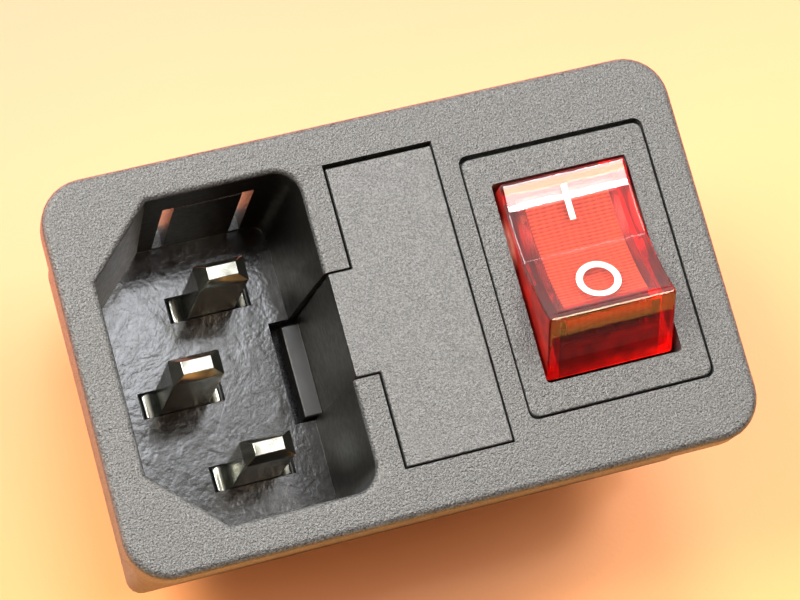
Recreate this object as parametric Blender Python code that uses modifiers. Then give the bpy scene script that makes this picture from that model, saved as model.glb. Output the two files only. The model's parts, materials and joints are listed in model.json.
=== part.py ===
# Panel power inlet: a recessed three-pin inlet, a fuse drawer and a lit rocker switch in one snap-in
# housing. It stands on the tips of its rear tabs with its face up: +X runs from the inlet to the switch,
# +Y towards the end of the rocker marked I, +Z out of the face. The rocker is drawn with that end pressed.

import math

import bmesh
import bpy
from mathutils import Matrix

mm = 0.001

# Inlet cup
inlet_width = 16.85 * mm
inlet_height = 25.2 * mm
inlet_depth = 15.5 * mm
inlet_chamfer = 5.15 * mm
inlet_corner_radius = 2.0 * mm
inlet_edge_radius = 0.45 * mm
inlet_draft_x = 0.8 * mm
inlet_draft_y = 0.4 * mm
inlet_floor = 1.8 * mm
rear_skirt = 2.5 * mm

# Pins of the inlet
pin_width = 4.0 * mm
pin_thickness = 2.0 * mm
pin_pitch = 14.0 * mm
earth_offset = 4.0 * mm
line_pin_shift = 1.7 * mm
line_tip_depth = 4.4 * mm
earth_tip_depth = 2.5 * mm
tip_length = 1.0 * mm
tip_bevel_x = 0.85 * mm
tip_bevel_y = 0.5 * mm
pin_edge = 0.15 * mm
pin_flare = 0.9 * mm
flare_steps = 5
shoulder_width = 6.0 * mm
shoulder_thickness = 1.8 * mm
shoulder_drop = 0.5 * mm
shoulder_proud = 1.0 * mm
slot_gap = 0.15 * mm
slot_end_gap = 0.35 * mm

# Flat tabs at the rear
tab_width = 4.8 * mm
tab_thickness = 0.8 * mm
tab_reach = 9.2 * mm
tab_hole = 1.7 * mm
tab_hole_inset = 2.6 * mm
tab_corner = 0.9 * mm

# Fuse and its clips
fuse_length = 20.0 * mm
cap_diameter = 5.2 * mm
cap_length = 5.0 * mm
cap_wall = 0.25 * mm
cap_end = 0.4 * mm
glass_wall = 0.5 * mm
glass_gap = 0.06 * mm
wire_diameter = 0.25 * mm
wire_sag = 0.2 * mm
fuse_above_floor = 1.5 * mm
clip_sheet = 0.45 * mm
clip_gap = 0.15 * mm
clip_width = 3.6 * mm
clip_rise = 1.6 * mm

# Fuse drawer and its pocket
drawer_side_wall = 1.05 * mm
drawer_fuse_gap = 0.4 * mm
drawer_lip = 0.15 * mm
drawer_end_wall = 1.5 * mm
drawer_fuse_end_gap = 0.28 * mm
drawer_face = 1.6 * mm
drawer_base = 1.4 * mm
drawer_edge = 0.12 * mm
drawer_partition = 0.9 * mm
cradle_rib = 1.2 * mm
clip_window_gap = 0.4 * mm
pocket_gap_left = 0.2 * mm
pocket_gap_right = 0.12 * mm
pocket_gap_far = 0.35 * mm
pocket_gap_near = 0.14 * mm
pocket_gap_rear = 0.3 * mm
pocket_floor = 1.5 * mm
pocket_shift = 0.27 * mm
notch_height = 8.15 * mm
notch_shift = -0.08 * mm
finger_wall = 1.1 * mm
finger_foot_reach = 1.45 * mm
finger_foot_height = 2.2 * mm
finger_foot_above_floor = 0.95 * mm
finger_foot_trim = 0.45 * mm
finger_lean = 0.56 * mm
foot_clearance = 0.7 * mm
foot_room_gap = 1.55 * mm
foot_edge = 0.2 * mm
face_set_back = 0.24 * mm

# Rocker, measured about its pivot with the rocker level
rocker_width = 10.25 * mm
rocker_half_top = 5.9 * mm
rocker_rise = 5.75 * mm
rocker_dish = 1.45 * mm
rocker_half_skirt = 7.5 * mm
rocker_skirt_drop = 0.8 * mm
rocker_keel_half = 4.2 * mm
rocker_keel_drop = 2.3 * mm
rocker_wall = 1.1 * mm
rocker_end_wall = 0.8 * mm
rocker_top_wall = 0.9 * mm
rocker_inner_flare = 0.4 * mm
rocker_edge = 0.28 * mm
dish_steps = 24
rocker_tilt = 16.7
trunnion_diameter = 2.6 * mm
trunnion_length = 0.7 * mm
trunnion_gap = 0.15 * mm
stem_diameter = 3.8 * mm
stem_bore = 2.4 * mm
stem_rise = 2.0 * mm
stem_roof = 0.7 * mm
stem_drop = 4.0 * mm
web_rise = 0.5 * mm
web_thickness = 2.5 * mm

# Plunger and spring
plunger_diameter = 2.1 * mm
plunger_tip_radius = 0.8 * mm
plunger_taper = 0.4 * mm
plunger_reach = 6.0 * mm
plunger_length = 4.6 * mm
plunger_lever_gap = 0.12 * mm
spring_wire = 0.28 * mm
spring_turns = 4
spring_play = 0.05 * mm

# Ribbed light diffuser, turned down at its two ends
diffuser_width = 6.8 * mm
diffuser_end_gap = 0.15 * mm
diffuser_apron = 1.6 * mm
diffuser_thickness = 0.5 * mm
diffuser_gap = 0.12 * mm
rib_pitch = 0.5 * mm
rib_depth = 0.18 * mm

# Lamp and series resistor
lamp_diameter = 3.2 * mm
lamp_length = 6.0 * mm
lamp_round = 0.9 * mm
lamp_height = 0.95 * mm
resistor_diameter = 2.0 * mm
resistor_length = 6.0 * mm
resistor_round = 0.4 * mm
resistor_height = 1.1 * mm
lamp_seat_gap = 0.12 * mm
lead_diameter = 0.4 * mm
lead_spread = 1.4 * mm

# Switch case
pivot_depth = 2.9 * mm
opening_gap_x = 0.345 * mm
opening_gap_y = 0.42 * mm
case_wall_x = 0.98 * mm
case_wall_y = 1.2 * mm
case_swing_room = 0.44 * mm
case_floor = 1.5 * mm
opening_corner = 0.3 * mm
case_depth = 17.5 * mm
bezel_thickness = 1.75 * mm
bezel_rim_x = 0.91 * mm
bezel_rim_y = 0.67 * mm
bezel_corner = 0.7 * mm
bezel_edge = 0.15 * mm
recess_gap_x = 0.14 * mm
recess_gap_far = 0.33 * mm
recess_gap_near = 0.17 * mm
recess_gap_under = 0.15 * mm
case_gap = 0.3 * mm
case_barb = 0.75 * mm
barb_length = 5.0 * mm
barb_width = 5.0 * mm

# See-saw contact and the tabs of the switch
terminal_pitch = 7.0 * mm
lever_width = 3.6 * mm
lever_thickness = 0.5 * mm
lever_half_length = 6.2 * mm
lever_wing = 12.0
lever_tilt = 7.0
lever_seat_gap = 0.12 * mm
cradle_ear_rise = 0.9 * mm
cradle_ear_gap = 0.15 * mm
contact_diameter = 2.2 * mm
contact_height = 0.6 * mm
contact_reach = 5.0 * mm
contact_gap = 0.2 * mm
ledge_overhang = 1.4 * mm
lamp_tab_rise = 3.5 * mm
seat_gap = 0.1 * mm

# Housing
housing_lip = 1.6 * mm
outer_wall = 1.3 * mm
partition = 2.0 * mm
switch_partition = 1.6 * mm
skirt_wall = 1.4 * mm
flange_thickness = 2.6 * mm
flange_corner_radius = 3.5 * mm
flange_edge_radius = 0.6 * mm
body_corner_radius = 1.2 * mm

# Snap latches
latch_tongue = 5.45 * mm
latch_slot = 0.9 * mm
latch_slot_top = 1.8 * mm
latch_length = 10.8 * mm
latch_barb = 1.0 * mm
latch_barb_length = 6.5 * mm
latch_barb_top = 0.7 * mm
latch_barb_land = 0.7 * mm
latch_shift = 2.0 * mm

# Link behind the body
link_sheet = 0.8 * mm
link_width = 3.2 * mm
link_end = 1.2 * mm
link_gap = 0.15 * mm
link_corner = 0.6 * mm
tail_proud = 0.8 * mm

overshoot = 0.5 * mm
curve_steps = 8

# Depths behind the front face
fuse_depth = inlet_depth - fuse_above_floor
drawer_depth = fuse_depth + cap_diameter / 2 + drawer_base
pocket_depth = drawer_depth + pocket_gap_rear
foot_depth = inlet_depth - finger_foot_above_floor + finger_foot_height
foot_room_depth = foot_depth + foot_room_gap
body_depth = max(max(pocket_depth, foot_room_depth) + pocket_floor, inlet_depth + inlet_floor + rear_skirt)
front = body_depth + tab_reach

# Sizes that follow from what goes inside
drawer_width = cap_diameter + 2 * (drawer_fuse_gap + drawer_side_wall + drawer_lip)
drawer_height = fuse_length + 2 * (drawer_fuse_end_gap + drawer_end_wall)
pocket_width = drawer_width + pocket_gap_left + pocket_gap_right
pocket_height = drawer_height + pocket_gap_far + pocket_gap_near
skirt_radius = math.hypot(rocker_half_skirt, rocker_skirt_drop)
opening_width = rocker_width + 2 * opening_gap_x
opening_height = 2 * (skirt_radius + opening_gap_y)
case_width = opening_width + 2 * case_wall_x
case_height = opening_height + 2 * (case_swing_room + case_wall_y)
bezel_width = case_width + 2 * bezel_rim_x
bezel_height = case_height + 2 * bezel_rim_y
recess_width = bezel_width + 2 * recess_gap_x
recess_height = bezel_height + recess_gap_far + recess_gap_near
recess_depth = bezel_thickness + recess_gap_under

inner_height = max(inlet_height, pocket_height + 2 * abs(pocket_shift), recess_height)
body_width = inner_height + 2 * outer_wall
flange_width = body_width + 2 * housing_lip
body_length = (outer_wall + inlet_width + partition + pocket_width + switch_partition
               + recess_width + outer_wall)
flange_length = body_length + 2 * housing_lip

# Places along X, from the inlet's end
body_left = -body_length / 2
body_right = body_length / 2
inlet_left = body_left + outer_wall
inlet_right = inlet_left + inlet_width
pocket_left = inlet_right + partition
pocket_right = pocket_left + pocket_width
recess_left = pocket_right + switch_partition
recess_right = recess_left + recess_width

inlet_x = (inlet_left + inlet_right) / 2
line_pin_x = inlet_x + line_pin_shift
earth_pin_x = line_pin_x - earth_offset
drawer_left = pocket_left + pocket_gap_left
drawer_right = drawer_left + drawer_width
drawer_x = (drawer_left + drawer_right) / 2
switch_x = (recess_left + recess_right) / 2

# Places along Y
drawer_y = pocket_shift + (pocket_gap_near - pocket_gap_far) / 2
drawer_low = drawer_y - drawer_height / 2
drawer_high = drawer_y + drawer_height / 2
switch_y = (recess_gap_near - recess_gap_far) / 2
clip_y_offset = fuse_length / 2 - cap_length / 2
finger_low = notch_shift - notch_height / 2
finger_high = notch_shift + notch_height / 2
finger_top_x = inlet_right + face_set_back
finger_low_x = finger_top_x - finger_lean
foot_left = finger_low_x - finger_foot_reach
foot_room_left = foot_left - foot_clearance

tilt = math.radians(rocker_tilt)
pivot = (switch_x, switch_y, front - pivot_depth)
lever_top = -plunger_reach - plunger_lever_gap
lever_pivot = (switch_x, switch_y, pivot[2] + lever_top - lever_thickness)


# Scene set-up

for old in list(bpy.data.objects):
    bpy.data.objects.remove(old, do_unlink=True)

parts = bpy.data.collections.new("appliance_inlet")
tools = bpy.data.collections.new("cutters")
bpy.context.scene.collection.children.link(parts)
bpy.context.scene.collection.children.link(tools)


def material(name, colour, roughness, metallic=0.0, transmission=0.0):
    made = bpy.data.materials.new(name)
    made.use_nodes = True
    shader = made.node_tree.nodes["Principled BSDF"]
    shader.inputs["Base Color"].default_value = (*colour, 1.0)
    shader.inputs["Roughness"].default_value = roughness
    shader.inputs["Metallic"].default_value = metallic
    shader.inputs["Transmission Weight"].default_value = transmission
    return made


black_nylon = material("black_nylon", (0.035, 0.036, 0.038), 0.55)
drawer_nylon = material("drawer_nylon", (0.03, 0.03, 0.032), 0.42)
nickel = material("nickel_plate", (0.72, 0.69, 0.63), 0.24, 1.0)
brass = material("brass_sheet", (0.78, 0.57, 0.27), 0.3, 1.0)
silver = material("silver_contact", (0.86, 0.85, 0.82), 0.28, 1.0)
steel = material("spring_steel", (0.6, 0.6, 0.61), 0.3, 1.0)
glass = material("fuse_glass", (0.93, 0.95, 0.94), 0.05, 0.0, 1.0)
red_clear = material("red_polycarbonate", (0.75, 0.02, 0.01), 0.08, 0.0, 0.85)
orange_clear = material("orange_diffuser", (0.95, 0.2, 0.06), 0.35, 0.0, 0.3)
lacquer = material("resistor_lacquer", (0.66, 0.52, 0.34), 0.4)
white_nylon = material("natural_nylon", (0.82, 0.8, 0.74), 0.45)


# Modelling helpers

def place(name, mesh, group):
    made = bpy.data.objects.new(name, mesh)
    group.objects.link(made)
    if group is tools:
        made.display_type = "WIRE"
        made.hide_render = True
    return made


def from_bmesh(name, shape, group):
    bmesh.ops.recalc_face_normals(shape, faces=shape.faces)
    mesh = bpy.data.meshes.new(name)
    shape.to_mesh(mesh)
    shape.free()
    return place(name, mesh, group)


def block(name, span_x, span_y, span_z, group=tools):
    centre = [(span[0] + span[1]) / 2 for span in (span_x, span_y, span_z)]
    size = [span[1] - span[0] for span in (span_x, span_y, span_z)]
    shape = bmesh.new()
    bmesh.ops.create_cube(shape, size=1.0, matrix=Matrix.Translation(centre) @ Matrix.Diagonal((*size, 1.0)))
    return from_bmesh(name, shape, group)


def along(axis):
    # turns local Z to the given axis, and local X and Y to the two that follow it
    if axis == "X":
        return Matrix(((0, 0, 1, 0), (1, 0, 0, 0), (0, 1, 0, 0), (0, 0, 0, 1)))
    if axis == "Y":
        return Matrix(((0, 1, 0, 0), (0, 0, 1, 0), (1, 0, 0, 0), (0, 0, 0, 1)))
    return Matrix.Identity(4)


def cylinder(name, diameter, low, high, centre=(0.0, 0.0), axis="Z", group=tools, segments=32,
             top_diameter=None):
    top = diameter if top_diameter is None else top_diameter
    shape = bmesh.new()
    local = Matrix.Translation((centre[0], centre[1], (low + high) / 2))
    bmesh.ops.create_cone(shape, cap_ends=True, segments=segments, radius1=diameter / 2,
                          radius2=top / 2, depth=high - low, matrix=along(axis) @ local)
    return from_bmesh(name, shape, group)


def prism(name, outline, low, high, axis="Z", group=tools):
    # the outline runs in the two axes that follow the prism's own: X and Y for Z, Y and Z for X
    curve = bpy.data.curves.new(name, "CURVE")
    curve.dimensions = "2D"
    curve.fill_mode = "BOTH"
    curve.extrude = (high - low) / 2
    spline = curve.splines.new("POLY")
    spline.points.add(len(outline) - 1)
    for point, (u, v) in zip(spline.points, outline):
        point.co = (u, v, 0.0, 1.0)
    spline.use_cyclic_u = True
    holder = bpy.data.objects.new(name + "_outline", curve)
    bpy.context.scene.collection.objects.link(holder)
    bpy.context.view_layer.update()
    mesh = bpy.data.meshes.new_from_object(holder.evaluated_get(bpy.context.evaluated_depsgraph_get()))
    bpy.data.objects.remove(holder, do_unlink=True)
    mesh.transform(along(axis) @ Matrix.Translation((0.0, 0.0, (low + high) / 2)))
    shape = bmesh.new()
    shape.from_mesh(mesh)
    bpy.data.meshes.remove(mesh)
    bmesh.ops.remove_doubles(shape, verts=shape.verts, dist=0.000002)
    bmesh.ops.dissolve_limit(shape, angle_limit=0.001, verts=shape.verts, edges=shape.edges)
    return from_bmesh(name, shape, group)


def loft(name, sections, group=tools):
    # each section is a height and an outline with as many points as the others
    shape = bmesh.new()
    rings = []
    for height, outline in sections:
        corners = [shape.verts.new((u, v, height)) for u, v in outline]
        rings.append([shape.edges.new((corners[i - 1], corners[i])) for i in range(len(corners))])
    for lower, upper in zip(rings, rings[1:]):
        bmesh.ops.bridge_loops(shape, edges=lower + upper)
    for ring in (rings[0], rings[-1]):
        bmesh.ops.contextual_create(shape, geom=ring)
    return from_bmesh(name, shape, group)


def tube(name, points, diameter, material_used, resolution=2):
    curve = bpy.data.curves.new(name, "CURVE")
    curve.dimensions = "3D"
    curve.bevel_depth = diameter / 2
    curve.bevel_resolution = resolution
    curve.use_fill_caps = True
    spline = curve.splines.new("POLY")
    spline.points.add(len(points) - 1)
    for knot, point in zip(spline.points, points):
        knot.co = (*point, 1.0)
    made = bpy.data.objects.new(name, curve)
    parts.objects.link(made)
    curve.materials.append(material_used)
    return made


def soften(made, radius, chosen, segments=3):
    # rounds the edges whose two ends both pass the test
    shape = bmesh.new()
    shape.from_mesh(made.data)
    edges = [edge for edge in shape.edges if chosen(edge.verts[0].co, edge.verts[1].co)]
    bmesh.ops.bevel(shape, geom=edges, offset=radius, segments=segments, profile=0.5, affect="EDGES")
    shape.to_mesh(made.data)
    shape.free()
    return made


def at_height(height):
    def chosen(first, second):
        return abs(first.z - height) < 0.01 * mm and abs(second.z - height) < 0.01 * mm
    return chosen


def upright(first, second):
    return abs(first.z - second.z) > 0.5 * mm and (first.xy - second.xy).length < 0.001 * mm


def combine(target, operation, others):
    for other in others:
        step = target.modifiers.new(operation.lower() + "_" + other.name, "BOOLEAN")
        step.operation = operation
        step.solver = "EXACT"
        step.object = other


def carve(target, *others):
    combine(target, "DIFFERENCE", others)


def weld(target, *others):
    combine(target, "UNION", others)


def finish(made, material_used, smooth_angle=None, carrier=None):
    made.data.materials.clear()
    made.data.materials.append(material_used)
    if smooth_angle is not None:
        made.data.shade_smooth()
        made.data.set_sharp_from_angle(angle=math.radians(smooth_angle))
    if carrier is not None:
        made.parent = carrier
    return made


def axis_point(name, location, turn_x=0.0):
    point = bpy.data.objects.new(name, None)
    point.empty_display_size = 3 * mm
    point.location = location
    point.rotation_euler = (turn_x, 0.0, 0.0)
    parts.objects.link(point)
    return point


def arc(centre, radius, start, end, steps):
    angles = [start + (end - start) * i / steps for i in range(steps + 1)]
    return [(centre[0] + radius * math.cos(a), centre[1] + radius * math.sin(a)) for a in angles]


def rounded_rectangle(left, right, low, high, radius, steps=curve_steps):
    quarter = math.pi / 2
    outline = arc((right - radius, high - radius), radius, 0, quarter, steps)
    outline += arc((left + radius, high - radius), radius, quarter, 2 * quarter, steps)
    outline += arc((left + radius, low + radius), radius, 2 * quarter, 3 * quarter, steps)
    outline += arc((right - radius, low + radius), radius, 3 * quarter, 4 * quarter, steps)
    return outline


def around(value, half):
    return (value - half, value + half)


# Housing: flange, walls, inlet cup, fuse pocket and switch recess

def inlet_outline(inset_x, inset_y):
    # a rectangle with two chamfered corners on the left and two rounded ones on the right
    left = inlet_left + inset_x
    right = inlet_right - inset_x
    half = inlet_height / 2 - inset_y
    radius = max(inlet_corner_radius - inset_x, 0.2 * mm)
    slope = inlet_chamfer - (inset_x + inset_y) * 0.3
    outline = arc((right - radius, half - radius), radius, math.pi / 2, 0, curve_steps)
    outline += arc((right - radius, radius - half), radius, 0, -math.pi / 2, curve_steps)
    outline += [(left + slope, -half), (left, slope - half), (left, half - slope), (left + slope, half)]
    return outline


housing = prism("housing", rounded_rectangle(-flange_length / 2, flange_length / 2, -flange_width / 2,
                                             flange_width / 2, flange_corner_radius),
                front - flange_thickness, front, group=parts)
soften(housing, flange_edge_radius, at_height(front), segments=4)

walls = prism("walls", rounded_rectangle(body_left, body_right, -body_width / 2, body_width / 2,
                                         body_corner_radius, 4),
              front - body_depth, front - flange_thickness / 2)
weld(housing, walls)

# inlet cavity: drafted walls and a rounded rim
flare = [(front - inlet_depth, inlet_outline(inlet_draft_x, inlet_draft_y))]
for i in range(5):
    turn = math.pi / 2 * i / 4
    out = inlet_edge_radius * (1 - math.cos(turn))
    flare.append((front - inlet_edge_radius * (1 - math.sin(turn)), inlet_outline(-out, -out)))
flare.append((front + overshoot, inlet_outline(-inlet_edge_radius, -inlet_edge_radius)))
cavity = loft("inlet_cavity", flare)

# the housing is hollow behind the inlet floor and round the switch
rear_room = block("rear_room", (body_left + skirt_wall, pocket_left - skirt_wall),
                  around(0, body_width / 2 - skirt_wall),
                  (front - body_depth - overshoot, front - inlet_depth - inlet_floor))
switch_room = block("switch_room", (pocket_right + skirt_wall, body_right - skirt_wall),
                    around(0, body_width / 2 - skirt_wall),
                    (front - body_depth - overshoot, front - flange_thickness))
recess = prism("switch_recess", rounded_rectangle(recess_left, recess_right,
                                                  switch_y - bezel_height / 2 - recess_gap_near,
                                                  switch_y + bezel_height / 2 + recess_gap_far,
                                                  bezel_corner, 4),
               front - recess_depth, front + overshoot)
case_hole = block("case_hole", around(switch_x, case_width / 2 + case_gap),
                  around(switch_y, case_height / 2 + case_gap),
                  (front - flange_thickness - overshoot, front))

pocket = block("fuse_pocket", (pocket_left, pocket_right),
               (drawer_low - pocket_gap_near, drawer_high + pocket_gap_far),
               (front - pocket_depth, front + overshoot))
notch = block("notch", (finger_low_x - foot_clearance, pocket_left + overshoot),
              (finger_low - pocket_gap_near, finger_high + pocket_gap_near),
              (front - foot_room_depth, front + overshoot))
foot_room = block("foot_room", (foot_room_left, pocket_left + overshoot),
                  (finger_low - pocket_gap_near, finger_high + pocket_gap_near),
                  (front - foot_room_depth, front - inlet_depth + overshoot))
foot_boss = block("foot_boss", (foot_room_left - skirt_wall, pocket_left),
                  (finger_low - pocket_gap_near - skirt_wall, finger_high + pocket_gap_near + skirt_wall),
                  (front - body_depth, front - inlet_depth - inlet_floor / 2))
carve(housing, cavity, rear_room, switch_room)
weld(housing, foot_boss)
carve(housing, recess, case_hole, pocket, notch, foot_room)

pin_places = {"pin_live": (line_pin_x, pin_pitch / 2), "pin_neutral": (line_pin_x, -pin_pitch / 2),
              "pin_earth": (earth_pin_x, 0.0)}
for pin_name, (x, y) in pin_places.items():
    carve(housing, block("slot_" + pin_name, around(x, shoulder_width / 2 + slot_end_gap),
                         around(y, shoulder_thickness / 2 + slot_gap),
                         (front - inlet_depth - inlet_floor - overshoot, front - inlet_depth + overshoot)))

# slots in the pocket floor for the tails of the clips
clip_in_y = drawer_y + clip_y_offset
clip_out_y = drawer_y - clip_y_offset
for tail_name, y, width in (("tail_in", clip_in_y, clip_width), ("tail_out", clip_out_y, tab_width)):
    carve(housing, block("slot_" + tail_name, around(drawer_x, tab_thickness / 2 + slot_gap),
                         around(y, width / 2 + slot_gap),
                         (front - body_depth - overshoot, front - pocket_depth + overshoot)))

# snap latches: a tongue between two slots, free below the flange, with a barb outside
latch_places = {"inlet": inlet_x + latch_shift, "switch": switch_x}
latch_high = front - flange_thickness - latch_slot_top
barb_outline = [(body_width / 2 - outer_wall / 2, latch_high),
                (body_width / 2 + latch_barb, latch_high - latch_barb_top),
                (body_width / 2 + latch_barb, latch_high - latch_barb_top - latch_barb_land),
                (body_width / 2, latch_high - latch_barb_length),
                (body_width / 2 - outer_wall / 2, latch_high - latch_barb_length)]
for where, x in latch_places.items():
    for side, sign in (("far", 1), ("near", -1)):
        outline = [(sign * u, v) for u, v in barb_outline]
        weld(housing, prism("barb_" + where + "_" + side, outline, x - latch_tongue / 2,
                            x + latch_tongue / 2, axis="X"))
        inside = sign * (body_width / 2 - skirt_wall - overshoot)
        span_y = sorted((inside, sign * (body_width / 2 + overshoot)))
        for edge, offset in (("left", -1), ("right", 1)):
            middle = x + offset * (latch_tongue + latch_slot) / 2
            carve(housing, block("latch_slot_" + where + "_" + side + "_" + edge,
                                 around(middle, latch_slot / 2), span_y,
                                 (latch_high - latch_length, latch_high + latch_slot / 2)))
        carve(housing, block("latch_top_" + where + "_" + side,
                             around(x, latch_tongue / 2 + latch_slot / 2), span_y,
                             (latch_high, latch_high + latch_slot / 2)))
finish(housing, black_nylon, 35)


# Pins of the inlet: a blade with a bevelled tip that flares into a wider shoulder, and a flat tab

def rectangle(x, y, half_x, half_y):
    return [(x + half_x, y + half_y), (x - half_x, y + half_y), (x - half_x, y - half_y),
            (x + half_x, y - half_y)]


def flat_tab(name, x, y, low, high, group=tools, facing="Y", width=tab_width, sheet=tab_thickness):
    # a tab whose broad side faces X or Y, with its two lower corners cut off
    cut = min(tab_corner, width / 3)
    outline = [(-width / 2, high), (-width / 2, low + cut), (cut - width / 2, low),
               (width / 2 - cut, low), (width / 2, low + cut), (width / 2, high)]
    if facing == "X":
        return prism(name, [(y + u, v) for u, v in outline], x - sheet / 2, x + sheet / 2, axis="X",
                     group=group)
    return prism(name, [(v, x + u) for u, v in outline], y - sheet / 2, y + sheet / 2, axis="Y",
                 group=group)


def tab_eye(name, x, y, facing="Y"):
    if facing == "X":
        return cylinder(name, tab_hole, x - tab_thickness, x + tab_thickness, (y, tab_hole_inset), "X",
                        segments=20)
    return cylinder(name, tab_hole, y - tab_thickness, y + tab_thickness, (tab_hole_inset, x), "Y",
                    segments=20)


shoulder_high = front - inlet_depth - shoulder_drop
shoulder_low = front - inlet_depth - inlet_floor - shoulder_proud
link_top = front - body_depth - seat_gap
tail_low = link_top - link_sheet - tail_proud

flare = [(shoulder_high - overshoot, pin_width / 2 + pin_flare)]
for i in range(flare_steps + 1):
    angle = math.pi / 2 * i / flare_steps
    flare.append((shoulder_high + pin_flare * (1 - math.cos(angle)),
                  pin_width / 2 + pin_flare * (1 - math.sin(angle))))

for pin_name, (x, y) in pin_places.items():
    tip = front - (earth_tip_depth if pin_name == "pin_earth" else line_tip_depth)
    blade = [(height, rectangle(x, y, half, pin_thickness / 2)) for height, half in flare]
    blade += [(tip - tip_length, rectangle(x, y, pin_width / 2, pin_thickness / 2)),
              (tip, rectangle(x, y, pin_width / 2 - tip_bevel_x, pin_thickness / 2 - tip_bevel_y))]
    pin = loft(pin_name, blade, group=parts)
    soften(pin, pin_edge, upright, segments=2)
    shoulder = block(pin_name + "_shoulder", around(x, shoulder_width / 2), around(y, shoulder_thickness / 2),
                     (shoulder_low, shoulder_high))
    low_end = tail_low if pin_name == "pin_live" else 0.0
    tab = flat_tab(pin_name + "_tab", x, y, low_end, shoulder_low + overshoot)
    weld(pin, shoulder, tab)
    if pin_name != "pin_live":
        carve(pin, tab_eye(pin_name + "_eye", x, y))
    finish(pin, nickel)


# Fuse: two caps, a glass tube open at both ends and the wire in it

fuse_z = front - fuse_depth
fuse_low = drawer_y - fuse_length / 2
fuse_high = drawer_y + fuse_length / 2
glass_diameter = cap_diameter - 2 * (cap_wall + glass_gap)
glass_end = cap_end + glass_gap

for cap_name, start, end, inner in (("fuse_cap_near", fuse_low, fuse_low + cap_length, 1),
                                    ("fuse_cap_far", fuse_high - cap_length, fuse_high, -1)):
    cap = cylinder(cap_name, cap_diameter, start, end, (fuse_z, drawer_x), "Y", group=parts, segments=40)
    if inner > 0:
        bore_span = (start + cap_end, end + overshoot)
    else:
        bore_span = (start - overshoot, end - cap_end)
    carve(cap, cylinder(cap_name + "_bore", cap_diameter - 2 * cap_wall, *bore_span, (fuse_z, drawer_x), "Y",
                        segments=40))
    finish(cap, nickel, 40)

fuse_tube = cylinder("fuse_glass", glass_diameter, fuse_low + glass_end, fuse_high - glass_end,
                     (fuse_z, drawer_x), "Y", group=parts, segments=40)
carve(fuse_tube, cylinder("fuse_glass_bore", glass_diameter - 2 * glass_wall, fuse_low, fuse_high,
                          (fuse_z, drawer_x), "Y", segments=40))
finish(fuse_tube, glass, 40)
tube("fuse_wire", [(drawer_x, fuse_low + glass_end, fuse_z), (drawer_x, drawer_y, fuse_z - wire_sag),
                   (drawer_x, fuse_high - glass_end, fuse_z)], wire_diameter, steel)


# Clips round the caps, with tails through the pocket floor

clip_inner = cap_diameter / 2 + clip_gap
clip_outer = clip_inner + clip_sheet
clip_low = front - pocket_depth + seat_gap
clip_high = fuse_z + clip_rise
clip_outline = [(drawer_x - clip_outer, clip_high), (drawer_x - clip_outer, clip_low),
                (drawer_x + clip_outer, clip_low), (drawer_x + clip_outer, clip_high),
                (drawer_x + clip_inner, clip_high), (drawer_x + clip_inner, clip_low + clip_sheet),
                (drawer_x - clip_inner, clip_low + clip_sheet), (drawer_x - clip_inner, clip_high)]
for clip_name, y, width, tail_end in (("fuse_clip_in", clip_in_y, clip_width, tail_low),
                                      ("fuse_clip_out", clip_out_y, tab_width, 0.0)):
    clip = prism(clip_name, [(v, u) for u, v in clip_outline], y - clip_width / 2, y + clip_width / 2,
                 axis="Y", group=parts)
    weld(clip, flat_tab(clip_name + "_tail", drawer_x, y, tail_end, clip_low + clip_sheet / 2, facing="X",
                        width=width))
    if tail_end == 0.0:
        carve(clip, tab_eye(clip_name + "_eye", drawer_x, y, "X"))
    finish(clip, brass)

# strap behind the body from the live pin's tab to the first clip
link_y = (clip_in_y + pin_pitch / 2) / 2
link_half = link_width / 2 + abs(clip_in_y - pin_pitch / 2) / 2
link = prism("live_link", rounded_rectangle(line_pin_x - tab_width / 2 - link_end,
                                            drawer_x + tab_thickness / 2 + link_end,
                                            link_y - link_half, link_y + link_half, link_corner, 3),
             link_top - link_sheet, link_top, group=parts)
carve(link, block("link_slot_pin", around(line_pin_x, tab_width / 2 + link_gap),
                  around(pin_pitch / 2, tab_thickness / 2 + link_gap),
                  (link_top - link_sheet - overshoot, link_top + overshoot)))
link_tail_half = clip_width / 2 + link_gap
link_pad = block("link_pad", around(drawer_x, tab_thickness / 2 + link_end),
                 around(clip_in_y, link_tail_half + link_end), (link_top - link_sheet, link_top))
weld(link, link_pad)
carve(link, block("link_slot_clip", around(drawer_x, tab_thickness / 2 + link_gap),
                  around(clip_in_y, link_tail_half),
                  (link_top - link_sheet - overshoot, link_top + overshoot)))
finish(link, brass)


# Fuse drawer: face, side walls, cradle, and the finger wall with its foot in the inlet

face_outline = [(drawer_left, drawer_low), (drawer_right, drawer_low), (drawer_right, drawer_high),
                (drawer_left, drawer_high), (drawer_left, finger_high), (finger_top_x, finger_high),
                (finger_top_x, finger_low), (drawer_left, finger_low)]
drawer = prism("fuse_drawer", face_outline, front - drawer_face, front, group=parts)
soften(drawer, drawer_edge, at_height(front), segments=2)

shell_left = drawer_left + drawer_lip
shell_right = drawer_right - drawer_lip
shell_low = drawer_low + drawer_lip
shell_high = drawer_high - drawer_lip
room_left = shell_left + drawer_side_wall
room_right = shell_right - drawer_side_wall
room_low = drawer_y - fuse_length / 2 - drawer_fuse_end_gap
room_high = drawer_y + fuse_length / 2 + drawer_fuse_end_gap
drawer_end = front - drawer_depth
partition_low = fuse_z + cap_diameter / 2 + drawer_fuse_gap
partition_high = partition_low + drawer_partition

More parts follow.
